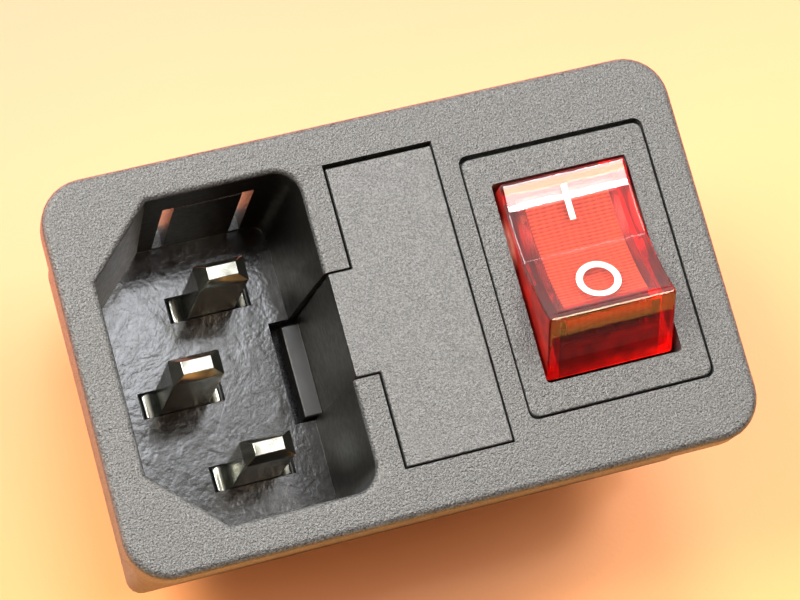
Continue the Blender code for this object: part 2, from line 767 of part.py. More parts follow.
shell = block("drawer_shell", (shell_left, shell_right), (shell_low, shell_high),
              (drawer_end, front - drawer_face / 2))
carve(shell, block("fuse_room", (room_left, room_right), (room_low, room_high),
                   (drawer_end - overshoot, partition_low)))
carve(shell, block("spare_room", (room_left, drawer_right + overshoot), (room_low, room_high),
                   (partition_high, front - drawer_face)))
for y, tag in ((clip_in_y, "in"), (clip_out_y, "out")):
    half = clip_width / 2 + clip_window_gap
    carve(shell, block("clip_window_" + tag, (drawer_left - overshoot, drawer_right + overshoot),
                       around(y, half), (drawer_end - overshoot, clip_high + clip_window_gap)))
weld(drawer, shell)

for sign, tag in ((-1, "near"), (1, "far")):
    rib_y = drawer_y + sign * (fuse_length / 2 - cap_length - cradle_rib)
    rib = block("cradle_" + tag, (room_left - drawer_side_wall / 2, room_right + drawer_side_wall / 2),
                around(rib_y, cradle_rib / 2), (drawer_end, fuse_z))
    carve(rib, cylinder("cradle_seat_" + tag, glass_diameter + 2 * slot_gap, rib_y - cradle_rib,
                        rib_y + cradle_rib, (fuse_z, drawer_x), "Y"))
    weld(drawer, rib)

foot_low = front - foot_depth
foot_high = foot_low + finger_foot_height
finger_outline = [(front - drawer_face / 2, finger_top_x), (foot_low, finger_low_x),
                  (foot_low, shell_left + drawer_side_wall / 2),
                  (front - drawer_face / 2, shell_left + drawer_side_wall / 2)]
finger = prism("finger_block", finger_outline, finger_low, finger_high, axis="Y")
carve(finger, block("finger_hollow", (finger_top_x + finger_wall, shell_left + overshoot),
                    (finger_low + finger_wall, finger_high - finger_wall),
                    (foot_low - overshoot, front - drawer_face)))
weld(drawer, finger)
foot = block("finger_foot", (foot_left, finger_low_x + finger_wall),
             (finger_low, finger_high - finger_foot_trim), (foot_low, foot_high))
soften(foot, foot_edge, at_height(foot_high), segments=2)
weld(drawer, foot)
finish(drawer, drawer_nylon, 35)


# Switch case: bezel, box, terminal slots and the holes for the rocker's trunnions

case = prism("switch_body", rounded_rectangle(switch_x - bezel_width / 2, switch_x + bezel_width / 2,
                                              switch_y - bezel_height / 2, switch_y + bezel_height / 2,
                                              bezel_corner, 4), front - bezel_thickness, front, group=parts)
soften(case, bezel_edge, at_height(front), segments=2)
box = block("case_box", around(switch_x, case_width / 2), around(switch_y, case_height / 2),
            (front - case_depth, front - bezel_thickness / 2))
weld(case, box)
barb_high = front - flange_thickness - seat_gap
for sign, tag in ((1, "far"), (-1, "near")):
    wall_y = case_height / 2
    outline = [(switch_y + sign * (wall_y - case_wall_y / 2), barb_high),
               (switch_y + sign * (wall_y + case_barb), barb_high),
               (switch_y + sign * wall_y, barb_high - barb_length),
               (switch_y + sign * (wall_y - case_wall_y / 2), barb_high - barb_length)]
    weld(case, prism("case_barb_" + tag, outline, switch_x - barb_width / 2, switch_x + barb_width / 2,
                     axis="X"))
opening_outline = rounded_rectangle(switch_x - opening_width / 2, switch_x + opening_width / 2,
                                    switch_y - opening_height / 2, switch_y + opening_height / 2,
                                    opening_corner, 3)
opening = prism("rocker_opening", opening_outline, front - bezel_thickness - overshoot, front + overshoot)
chamber = block("case_chamber", around(switch_x, opening_width / 2),
                around(switch_y, opening_height / 2 + case_swing_room),
                (front - case_depth + case_floor, front - bezel_thickness))
pivot_holes = cylinder("pivot_holes", trunnion_diameter + 2 * trunnion_gap, switch_x - case_width,
                       switch_x + case_width, (switch_y, pivot[2]), "X", segments=24)
carve(case, opening, chamber, pivot_holes)

terminal_places = {"terminal_load": switch_y - terminal_pitch, "terminal_feed": switch_y,
                   "terminal_lamp": switch_y + terminal_pitch}
for terminal_name, y in terminal_places.items():
    carve(case, block("slot_" + terminal_name, around(switch_x, tab_width / 2 + slot_gap),
                      around(y, tab_thickness / 2 + slot_gap),
                      (front - case_depth - overshoot, front - case_depth + case_floor + overshoot)))
finish(case, black_nylon, 35)


# Terminals of the switch: the middle one cradles the lever, the near one carries the fixed contact

saddle = lever_pivot[2] - lever_seat_gap
ear_inner = lever_width / 2 + cradle_ear_gap
feed = flat_tab("terminal_feed", switch_x, switch_y, 0.0, saddle + cradle_ear_rise, group=parts)
carve(feed, block("lever_saddle", around(switch_x, ear_inner), around(switch_y, tab_thickness),
                  (saddle, saddle + cradle_ear_rise + overshoot)))
carve(feed, tab_eye("terminal_feed_eye", switch_x, switch_y))
finish(feed, brass)

rest_wing = math.radians(lever_wing - lever_tilt)
touch_y = switch_y - contact_reach * math.cos(rest_wing)
touch_z = lever_pivot[2] + contact_reach * math.sin(rest_wing) - contact_height
fixed_top = touch_z - contact_gap
ledge_high = fixed_top - contact_height - seat_gap
load_y = terminal_places["terminal_load"]
load = flat_tab("terminal_load", switch_x, load_y, 0.0, ledge_high, group=parts)
ledge = block("load_ledge", around(switch_x, tab_width / 2),
              (load_y - tab_thickness / 2, touch_y + ledge_overhang),
              (ledge_high - tab_thickness, ledge_high))
weld(load, ledge)
carve(load, tab_eye("terminal_load_eye", switch_x, load_y))
finish(load, brass)

lamp_y = terminal_places["terminal_lamp"]
lamp_tab = flat_tab("terminal_lamp", switch_x, lamp_y, 0.0, front - case_depth + case_floor + lamp_tab_rise,
                    group=parts)
carve(lamp_tab, tab_eye("terminal_lamp_eye", switch_x, lamp_y))
finish(lamp_tab, brass)

fixed = cylinder("fixed_contact", contact_diameter, ledge_high + seat_gap, fixed_top,
                 (switch_x, touch_y), "Z", group=parts, segments=24)
finish(fixed, silver, 40)


# See-saw lever: two wings bent up from the middle, tilted so that its near end is down

lever_axis = axis_point("lever_axis", lever_pivot, math.radians(lever_tilt))
wing = math.radians(lever_wing)
wing_y = lever_half_length * math.cos(wing)
wing_z = lever_half_length * math.sin(wing)
lever_outline = [(0, 0), (wing_y, wing_z), (wing_y, wing_z + lever_thickness / math.cos(wing)),
                 (0, lever_thickness / math.cos(wing)),
                 (-wing_y, wing_z + lever_thickness / math.cos(wing)), (-wing_y, wing_z)]
lever = prism("contact_lever", lever_outline, -lever_width / 2, lever_width / 2, axis="X", group=parts)
finish(lever, brass, carrier=lever_axis)

moving = cylinder("moving_contact", contact_diameter, -contact_height, -seat_gap / 2, group=parts,
                  segments=24)
moving.data.transform(Matrix.Rotation(-wing, 4, "X") @ Matrix.Translation((0, -contact_reach, 0)))
finish(moving, silver, 40, carrier=lever_axis)


# Rocker and what rides in it, modelled level about the pivot and then tilted

rocker_axis = axis_point("rocker_axis", pivot, -tilt)
dish_radius = (rocker_half_top ** 2 + rocker_dish ** 2) / (2 * rocker_dish)
dish_centre = rocker_rise - rocker_dish + dish_radius


def dish_height(y, drop):
    # height of the dished top over the pivot, or of a surface that lies lower by drop
    return dish_centre - math.sqrt((dish_radius + drop) ** 2 - y * y)


def dish_line(half, drop, steps):
    return [(half - 2 * half * i / steps, dish_height(half - 2 * half * i / steps, drop))
            for i in range(steps + 1)]


rocker_outline = [(rocker_keel_half, -rocker_keel_drop), (rocker_half_skirt, -rocker_skirt_drop)]
rocker_outline += dish_line(rocker_half_top, 0.0, dish_steps)
rocker_outline += [(-rocker_half_skirt, -rocker_skirt_drop), (-rocker_keel_half, -rocker_keel_drop)]
rocker = prism("rocker", rocker_outline, -rocker_width / 2, rocker_width / 2, axis="X", group=parts)
edge = rocker.modifiers.new("edges", "BEVEL")
edge.width = rocker_edge
edge.segments = 3
edge.limit_method = "ANGLE"
edge.angle_limit = math.radians(40)

inner_skirt = rocker_half_skirt - rocker_end_wall
inner_top = rocker_half_top - rocker_end_wall
hollow_outline = [(inner_skirt + rocker_inner_flare, -rocker_keel_drop - overshoot),
                  (inner_skirt, -rocker_skirt_drop)]
hollow_outline += dish_line(inner_top, rocker_top_wall, dish_steps)
hollow_outline += [(-inner_skirt, -rocker_skirt_drop),
                   (-inner_skirt - rocker_inner_flare, -rocker_keel_drop - overshoot)]
hollow_half = rocker_width / 2 - rocker_wall
hollow = prism("rocker_hollow", hollow_outline, -hollow_half, hollow_half, axis="X")
hollow.parent = rocker_axis
carve(rocker, hollow)

trunnion_reach = rocker_width / 2 + trunnion_length
for sign, tag in ((-1, "left"), (1, "right")):
    span = sorted((sign * (rocker_width / 2 - rocker_wall / 2), sign * trunnion_reach))
    pin_end = cylinder("trunnion_" + tag, trunnion_diameter, *span, (0, 0), "X", segments=24)
    pin_end.parent = rocker_axis
    weld(rocker, pin_end)
web = block("stem_web", around(0, rocker_width / 2 - rocker_wall / 2), around(0, web_thickness / 2),
            (-rocker_keel_drop, web_rise))
stem = cylinder("stem", stem_diameter, -stem_drop, stem_rise, segments=32)
stem_hole = cylinder("stem_hole", stem_bore, -stem_drop - overshoot, stem_rise - stem_roof, segments=32)
for tool in (web, stem, stem_hole):
    tool.parent = rocker_axis
weld(rocker, web, stem)
carve(rocker, stem_hole)
finish(rocker, red_clear, 35, carrier=rocker_axis)

# plunger: a rod with a round tip, turned from its profile
tip_steps = 6
profile = [(0.0, plunger_length - plunger_reach), (plunger_diameter / 2, plunger_length - plunger_reach),
           (plunger_diameter / 2, plunger_tip_radius + plunger_taper - plunger_reach),
           (plunger_tip_radius, plunger_tip_radius - plunger_reach)]
profile += [(plunger_tip_radius * math.cos(a), plunger_tip_radius * (1 - math.sin(a)) - plunger_reach)
            for a in [math.pi / 2 * i / tip_steps for i in range(1, tip_steps)]]
profile += [(0.0, -plunger_reach)]
turned = bmesh.new()
corners = [turned.verts.new((r, 0.0, z)) for r, z in profile]
for first, second in zip(corners, corners[1:]):
    turned.edges.new((first, second))
rod_mesh = bpy.data.meshes.new("plunger")
turned.to_mesh(rod_mesh)
turned.free()
plunger = place("plunger", rod_mesh, parts)
screw = plunger.modifiers.new("turned", "SCREW")
screw.steps = 24
screw.render_steps = 24
screw.use_merge_vertices = True
screw.merge_threshold = 0.000005
finish(plunger, white_nylon, carrier=rocker_axis)

# spring between the roof of the stem and the plunger
spring_low = plunger_length - plunger_reach + spring_play + spring_wire / 2
spring_high = stem_rise - stem_roof - spring_play - spring_wire / 2
spring_radius = (stem_bore - spring_wire) / 2 - spring_play * 2
coil = []
for i in range(spring_turns * 12 + 1):
    angle = 2 * math.pi * i / 12
    share = i / (spring_turns * 12)
    coil.append((spring_radius * math.cos(angle), spring_radius * math.sin(angle),
                 spring_low + (spring_high - spring_low) * share))
spring = tube("plunger_spring", coil, spring_wire, steel, 1)
spring.parent = rocker_axis

# diffuser: a thin dished plate with fine ribs across its underside and an apron behind each end wall
diffuser_half_length = inner_top - diffuser_end_gap
rib_half = diffuser_half_length - diffuser_thickness
ribs = int(2 * rib_half / rib_pitch)
top_drop = rocker_top_wall + diffuser_gap
low_drop = top_drop + diffuser_thickness
under = []
for i in range(ribs + 1):
    y = -rib_half + 2 * rib_half * i / ribs
    under.append((y, dish_height(y, low_drop)))
    if i < ribs:
        y += rib_half / ribs
        under.append((y, dish_height(y, low_drop) - rib_depth))
wall_height = dish_height(inner_top, rocker_top_wall) + rocker_skirt_drop
apron_low = dish_height(diffuser_half_length, top_drop) - diffuser_apron
apron_out = diffuser_half_length + diffuser_apron * (inner_skirt - inner_top) / wall_height
apron_ends = [(apron_out, apron_low), (apron_out - diffuser_thickness, apron_low)]
diffuser_outline = dish_line(diffuser_half_length, top_drop, dish_steps)
diffuser_outline += [(-y, z) for y, z in apron_ends] + under + apron_ends[::-1]
diffuser = prism("light_diffuser", diffuser_outline, -diffuser_width / 2, diffuser_width / 2, axis="X",
                 group=parts)
finish(diffuser, orange_clear, carrier=rocker_axis)

# lamp and resistor lie across the rocker on the two sides of the stem
lamp_place = (stem_diameter / 2 + lamp_seat_gap + lamp_diameter / 2, lamp_height)
resistor_place = (-stem_diameter / 2 - lamp_seat_gap - resistor_diameter / 2, resistor_height)
lamp = cylinder("neon_lamp", lamp_diameter, -lamp_length / 2, lamp_length / 2, lamp_place, "X", group=parts,
                segments=28)
ends = lamp.modifiers.new("round_ends", "BEVEL")
ends.width = lamp_round
ends.segments = 4
ends.limit_method = "ANGLE"
ends.angle_limit = math.radians(60)
finish(lamp, glass, 40, carrier=rocker_axis)
resistor = cylinder("lamp_resistor", resistor_diameter, -resistor_length / 2, resistor_length / 2,
                    resistor_place, "X", group=parts, segments=24)
ends = resistor.modifiers.new("round_ends", "BEVEL")
ends.width = resistor_round
ends.segments = 3
ends.limit_method = "ANGLE"
ends.angle_limit = math.radians(60)
finish(resistor, lacquer, 40, carrier=rocker_axis)

lead_x = rocker_width / 2 - rocker_wall - lead_diameter
lamp_end = lamp_length / 2 + lamp_seat_gap
resistor_end = resistor_length / 2 + lamp_seat_gap
leads = {
    "lamp_lead_joint": [(-lamp_end, *lamp_place), (-lead_x, *lamp_place),
                        (-lead_x, 0.0, resistor_place[1]), (-lead_x, *resistor_place),
                        (-resistor_end, *resistor_place)],
    "lamp_lead_far": [(lamp_end, *lamp_place), (lead_x, *lamp_place),
                      (lead_x, lamp_place[0] + lead_spread, -rocker_skirt_drop)],
    "lamp_lead_near": [(resistor_end, *resistor_place), (lead_x, *resistor_place),
                       (lead_x, resistor_place[0] - lead_spread, -rocker_skirt_drop)],
}
for lead_name, points in leads.items():
    tube(lead_name, points, lead_diameter, nickel).parent = rocker_axis
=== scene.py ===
import json
import math

import bmesh
import bpy
from mathutils import Matrix, Vector


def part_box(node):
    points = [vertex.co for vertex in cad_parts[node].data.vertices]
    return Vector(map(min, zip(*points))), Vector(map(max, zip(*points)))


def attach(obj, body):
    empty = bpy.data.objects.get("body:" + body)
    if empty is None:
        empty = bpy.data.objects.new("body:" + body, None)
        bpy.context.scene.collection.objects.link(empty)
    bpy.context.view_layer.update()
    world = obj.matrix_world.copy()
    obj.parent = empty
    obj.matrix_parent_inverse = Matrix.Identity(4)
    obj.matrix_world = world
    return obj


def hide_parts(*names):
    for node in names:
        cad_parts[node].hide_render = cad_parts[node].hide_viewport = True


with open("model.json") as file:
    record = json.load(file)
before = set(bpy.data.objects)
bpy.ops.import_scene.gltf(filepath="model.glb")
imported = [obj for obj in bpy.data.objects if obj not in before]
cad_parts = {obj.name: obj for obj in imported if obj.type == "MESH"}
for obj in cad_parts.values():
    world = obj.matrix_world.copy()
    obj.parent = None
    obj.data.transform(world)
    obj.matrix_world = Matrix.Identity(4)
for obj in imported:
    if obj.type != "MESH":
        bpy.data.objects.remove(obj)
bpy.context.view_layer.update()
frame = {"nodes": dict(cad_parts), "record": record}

# Panel power inlet with a fuse drawer and a lit red rocker, on a pale warm card.
# Lengths in the dictionaries are millimetres and angles are degrees, unless a note says otherwise.

mm = 0.001
nodes = frame["nodes"]
bodyOf = {node: body for body, members in frame["record"]["behaviour"]["bodies"].items()
          for node in members}
housingLow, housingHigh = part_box("housing")
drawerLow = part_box("fuse_drawer")[0]
frontZ = housingHigh.z


# Shader helpers

def toLinear(hexColour):
    channels = [int(hexColour[i:i + 2], 16) / 255 for i in (1, 3, 5)]
    linear = [c / 12.92 if c <= 0.04045 else ((c + 0.055) / 1.055) ** 2.4 for c in channels]
    return (*linear, 1.0)


def add(tree, kind, inputs=None, stops=(), **settings):
    # one node: its settings by name, its sockets by name or number, each given a value or another
    # socket, and for a colour ramp its two stops, each a place with a hex colour or a grey share
    node = tree.nodes.new("ShaderNode" + kind)
    for name, value in settings.items():
        setattr(node, name, value)
    for socket, value in (inputs or {}).items():
        if isinstance(value, bpy.types.NodeSocket):
            tree.links.new(value, node.inputs[socket])
        else:
            node.inputs[socket].default_value = value
    if stops:
        for element, (place, tone) in zip(node.color_ramp.elements, stops):
            element.position = place
            element.color = toLinear(tone) if isinstance(tone, str) else (tone, tone, tone, 1.0)
    return node


def perMm(size):
    # texture scale that gives features of this size in millimetres
    return 1.0 / (size * mm)


def newMaterial(name):
    made = bpy.data.materials.new(name)
    made.use_nodes = True
    tree = made.node_tree
    tree.nodes.clear()
    return made, tree


def relief(tree, *layers):
    # stacks bumps: each layer is a height socket and its depth in millimetres
    normal = None
    for height, depth in layers:
        inputs = {"Height": height, "Distance": depth * mm, "Strength": 1.0}
        if normal is not None:
            inputs["Normal"] = normal
        normal = add(tree, "Bump", inputs).outputs["Normal"]
    return normal


# Moulded plastics

# glass-filled nylon from a spark-eroded mould: raised specks catch the light and the pits between
# them stay dark; the real grain is about 0.1 mm wide and is drawn twice as coarse so that it shows
nylon = {
    # the colour's specks: partly the nylon's own mottle, partly painted shade in the pits and
    # painted glints on the raised grain
    "pitShadeTone": "#191a1b",
    "glintTone": "#5a5b5c",
    "worn": "#b9b4aa",
    "ior": 1.53,
    "fleck": 0.42,                # dust in small clumps
    "outlineRadius": 3.5,
    "wornBeside": (0.28, 0.05),   # the wear starts and is full this far inside the outline
    "wornBelow": (0.28, 0.1),     # and this far below the face
}
# the flange has the coarsest grain, the bezel a finer one and the drawer a satin one
grains = {
    "sparkErodedNylon": {"grain": 0.24, "fine": 0.13, "depth": 0.09, "fineDepth": 0.03,
                         "roughness": (0.28, 0.42), "dust": 0.5},
    "fineGrainNylon": {"grain": 0.22, "fine": 0.12, "depth": 0.08, "fineDepth": 0.03,
                       "roughness": (0.27, 0.4), "dust": 0.3},
    "satinNylon": {"grain": 0.2, "fine": 0.12, "depth": 0.05, "fineDepth": 0.02,
                   "roughness": (0.26, 0.36), "dust": 0.4},
}


def sparkErodedNylon(name, grain):
    made, tree = newMaterial(name)
    place = add(tree, "TexCoord").outputs["Object"]
    coarse = add(tree, "TexNoise", {"Vector": place, "Scale": perMm(grain["grain"]), "Detail": 3.0,
                                    "Roughness": 0.62}).outputs["Fac"]
    fine = add(tree, "TexVoronoi", {"Vector": place,
                                    "Scale": perMm(grain["fine"])}).outputs["Distance"]
    # pale and dark specks in the colour, on their own noise: partly random mottle, partly painted
    # glints and painted pit shade
    mottle = add(tree, "TexNoise", {"Vector": place, "Scale": perMm(grain["fine"]),
                                    "Detail": 1.0}).outputs["Fac"]
    glintAndPitSpecks = add(tree, "ValToRGB", {"Fac": mottle},
                 [(0.3, nylon["pitShadeTone"]), (0.72, nylon["glintTone"])]).outputs["Color"]
    glossy, dull = grain["roughness"]
    rough = add(tree, "MapRange", {"Value": coarse, "From Min": 0.3, "From Max": 0.7,
                                   "To Min": glossy, "To Max": dull}).outputs["Result"]
    # dust: pale flecks on the faces, and rubbed spots along the outline of the flange
    fleck = add(tree, "TexNoise", {"Vector": place, "Scale": perMm(nylon["fleck"]), "Detail": 3.0,
                                   "Roughness": 0.7}).outputs["Fac"]
    dust, rubbed = (add(tree, "ValToRGB", {"Fac": fleck}, stops).outputs["Color"]
                    for stops in ([(0.73, 0.0), (0.77, grain["dust"])],
                                  [(0.44, 0.0), (0.62, 0.55)]))
    # outward is how far a point lies beyond the centres of the outline's round corners
    radius = nylon["outlineRadius"] * mm
    straight = (housingHigh.x - radius, housingHigh.y - radius, 1.0)
    outward = place
    for operation, other in (("ABSOLUTE", (0.0, 0.0, 0.0)), ("SUBTRACT", straight),
                             ("MAXIMUM", (0.0, 0.0, 0.0)), ("MULTIPLY", (1.0, 1.0, 0.0))):
        outward = add(tree, "VectorMath", {0: outward, 1: other},
                      operation=operation).outputs["Vector"]
    outward = add(tree, "VectorMath", {0: outward}, operation="LENGTH").outputs["Value"]
    height = add(tree, "SeparateXYZ", {"Vector": place}).outputs["Z"]
    beside, below = (add(tree, "MapRange", {"Value": value, "From Min": limit - start * mm,
                                            "From Max": limit - full * mm}).outputs["Result"]
                     for value, limit, (start, full) in ((outward, radius, nylon["wornBeside"]),
                                                         (height, frontZ, nylon["wornBelow"])))
    edge = add(tree, "Math", {0: beside, 1: below}, operation="MULTIPLY").outputs[0]
    wear = add(tree, "Math", {0: edge, 1: rubbed, 2: dust}, operation="MULTIPLY_ADD",
               use_clamp=True).outputs[0]
    colour = add(tree, "Mix", {"Factor": wear, 6: glintAndPitSpecks, 7: toLinear(nylon["worn"])},
                 data_type="RGBA").outputs[2]
    shader = add(tree, "BsdfPrincipled", {
        "Base Color": colour, "Roughness": rough, "IOR": nylon["ior"],
        "Normal": relief(tree, (coarse, grain["depth"]), (fine, grain["fineDepth"]))})
    add(tree, "OutputMaterial", {"Surface": shader.outputs[0]})
    return made


flangeNylon, bezelNylon, drawerNylon = (sparkErodedNylon(*row) for row in grains.items())

# the inside of the cup is smooth from a polished core, with flow marks frozen on its floor; the
# crackle and the pits are drawn a few times coarser than real ones so that they show
cupNylon = {
    "flow": 3.0,
    "crackle": 0.62,
    "pits": 0.3,
}


def polishedNylon(name, colours, roughness, depths):
    # depths are those of the flow marks, the crackle and the pits
    made, tree = newMaterial(name)
    place = add(tree, "TexCoord").outputs["Object"]
    flow = add(tree, "TexNoise", {"Vector": place, "Scale": perMm(cupNylon["flow"]), "Detail": 3.0,
                                  "Roughness": 0.55, "Distortion": 0.6}).outputs["Fac"]
    crackle = add(tree, "TexNoise", {"Vector": place, "Scale": perMm(cupNylon["crackle"]),
                                     "Detail": 4.0, "Roughness": 0.6}).outputs["Fac"]
    pits = add(tree, "TexVoronoi", {"Vector": place,
                                    "Scale": perMm(cupNylon["pits"])}).outputs["Distance"]
    tone = add(tree, "ValToRGB", {"Fac": flow}, zip((0.35, 0.7), colours)).outputs["Color"]
    glossy, dull = roughness
    rough = add(tree, "MapRange", {"Value": crackle, "From Min": 0.35, "From Max": 0.65,
                                   "To Min": glossy, "To Max": dull}).outputs["Result"]
    shader = add(tree, "BsdfPrincipled", {
        "Base Color": tone, "Roughness": rough, "IOR": nylon["ior"],
        "Normal": relief(tree, *zip((flow, crackle, pits), depths))})
    add(tree, "OutputMaterial", {"Surface": shader.outputs[0]})
    return made


cupFloorNylon = polishedNylon("polishedNylonFloor", ("#131212", "#1a1918"), (0.12, 0.18),
                              (0.04, 0.012, 0.003))
# the walls get a darker copy of the floor's colours: painted shade in the deep cup
shadedCupWallNylon = polishedNylon("shadedPolishedNylonWall", ("#0c0b0a", "#11100f"), (0.34, 0.44),
                             (0.008, 0.003, 0.00075))


# Metals

# the lines on real sheet are a few hundredths of a millimetre apart and are drawn coarser so that
# they show
sheetMetal = {
    "drawnUp": (1.0, 1.0, 0.06),      # how the lines are stretched
    "drawnAcross": (0.2, 1.0, 1.0),
    "lineDepth": 0.0002,
    "blankedDepth": 0.008,
    "cloud": 1.6,
    "cloudDepth": 0.012,
}


def rolledMetal(name, tones, roughness, line, stretch="drawnUp", lineDepth="lineDepth"):
    # rolled, stamped and plated: faint drawn lines along it and soft clouds of tarnish
    made, tree = newMaterial(name)
    place = add(tree, "TexCoord").outputs["Object"]
    drawn = add(tree, "Mapping", {"Vector": place, "Scale": sheetMetal[stretch]}).outputs["Vector"]
    lines = add(tree, "TexNoise", {"Vector": drawn, "Scale": perMm(line),
                                   "Detail": 3.0}).outputs["Fac"]
    cloud = add(tree, "TexNoise", {"Vector": place, "Scale": perMm(sheetMetal["cloud"]),
                                   "Detail": 1.0, "Roughness": 0.4}).outputs["Fac"]
    tone = add(tree, "ValToRGB", {"Fac": cloud}, zip((0.35, 0.72), tones)).outputs["Color"]
    glossy, dull = roughness
    rough = add(tree, "MapRange", {"Value": lines, "From Min": 0.3, "From Max": 0.7,
                                   "To Min": glossy, "To Max": dull}).outputs["Result"]
    shader = add(tree, "BsdfPrincipled", {
        "Base Color": tone, "Metallic": 1.0, "Roughness": rough,
        "Normal": relief(tree, (lines, sheetMetal[lineDepth]), (cloud, sheetMetal["cloudDepth"]))})
    add(tree, "OutputMaterial", {"Surface": shader.outputs[0]})
    return made


# bright, faintly warm plate, and the cut of the stamping tool across the tips, streaked and duller
nickelPlate = rolledMetal("nickelPlatedBrass", ("#cdcfc6", "#b6b8ab"), (0.2, 0.26), 0.4)
blankedTip = rolledMetal("blankedNickelTip", ("#8f9088", "#4a4a44"), (0.22, 0.38), 0.22,
                         "drawnAcross", "blankedDepth")
# satin yellow sheet, and a darkened copy of it: painted shade on the brass high inside the switch
rolledBrass = rolledMetal("rolledBrass", ("#c9a257", "#b38a45"), (0.24, 0.4), 0.15)
shadedBrass = rolledMetal("shadeDarkenedBrass", ("#241c13", "#15100b"), (0.5, 0.65), 0.15)
springWire = rolledMetal("springSteel", ("#b4b4b6", "#9c9c9f"), (0.22, 0.34), 0.1)      # cool grey
silverRivet = rolledMetal("silverContact", ("#dedcd6", "#c4c0b4"), (0.2, 0.36), 0.1)    # soft white


# Rocker, in millimetres about its pivot, y and z as if it lay level

rocker = {
    "pivot": (14.585, -0.08, 26.1),
    "tilt": -16.7,
    "halfTop": 5.9,              # half the length of the dished top
    "rise": 5.75,                # height of its ends
    "dish": 1.45,                # and its depth
    "reach": 0.3,
    "reachFrom": (4.5, 5.4),     # it grows over this length
    "dishRuns": (1.0, 4.0),      # heights over which the dish goes on along its arc
    "reachSinks": (4.0, 0.5),    # and over which the raised end's reach grows, downwards
}
rockerPivot = Vector(rocker["pivot"]) * mm
tilted = Matrix.Rotation(math.radians(rocker["tilt"]), 3, "X")
leveller = tilted.transposed()
dishRadius = (rocker["halfTop"] ** 2 + rocker["dish"] ** 2) / (2 * rocker["dish"])


def rockerAxes(tree, place):
    # how far a point lies along the rocker from its pivot, and how far above it
    offset = add(tree, "VectorMath", {0: place, 1: rockerPivot},
                 operation="SUBTRACT").outputs["Vector"]
    return [add(tree, "VectorMath", {0: offset, 1: axis}, operation="DOT_PRODUCT").outputs["Value"]
            for axis in (tilted.col[1], tilted.col[2])]


# Clear plastics and glass

redPlastic = {
    "absorb": "#ff3a20",
    "density": 1050.0,                # per metre
    "ior": 1.585,
    "roughness": (0.015, 0.05),
    "mattRoughness": 0.5,
    "wave": (2.5, 0.012),             # width and depth of the soft waves in the polish
    "streak": (0.5, 0.0016),          # and of its streaks, drawn coarser than real ones
    "scuff": 0.2,
    "cloud": 1.5,
    "tones": ("#ff8f7c", "#cc1a09"),  # paler in the painted pool of light, darker away from it
    # the glows are painted light: emission on the matt faces
    "glow": 0.14,
    "edgeGlow": 1.4,                  # painted glow at the lowest rim
    "edgeLight": (0.0, -0.65),
    "poolMiddle": (0.0, 3.3, 27.7),   # in the part's own axes
    "poolEdge": (1.6, 2.8),
    "poolWander": 1.2,
    "poolGlow": 0.7,
    "paintedEndShade": 0.55,                 # painted shades: shares of the tone that are left
    "paintedLeftShade": 0.5,
    "sideRun": 4.0,
    "paintedNearShade": 0.55,                # painted shade on the right side, as far as the near corner
    "nearRun": (-1.6, 1.4),
    "cornerRun": (-4.4, -5.4),
    "patches": (0.55, 1.1),
    "frostBelow": (2.8, 1.9),
    "frostBeside": (3.3, 3.7),
    "sideFrost": 0.55,
}


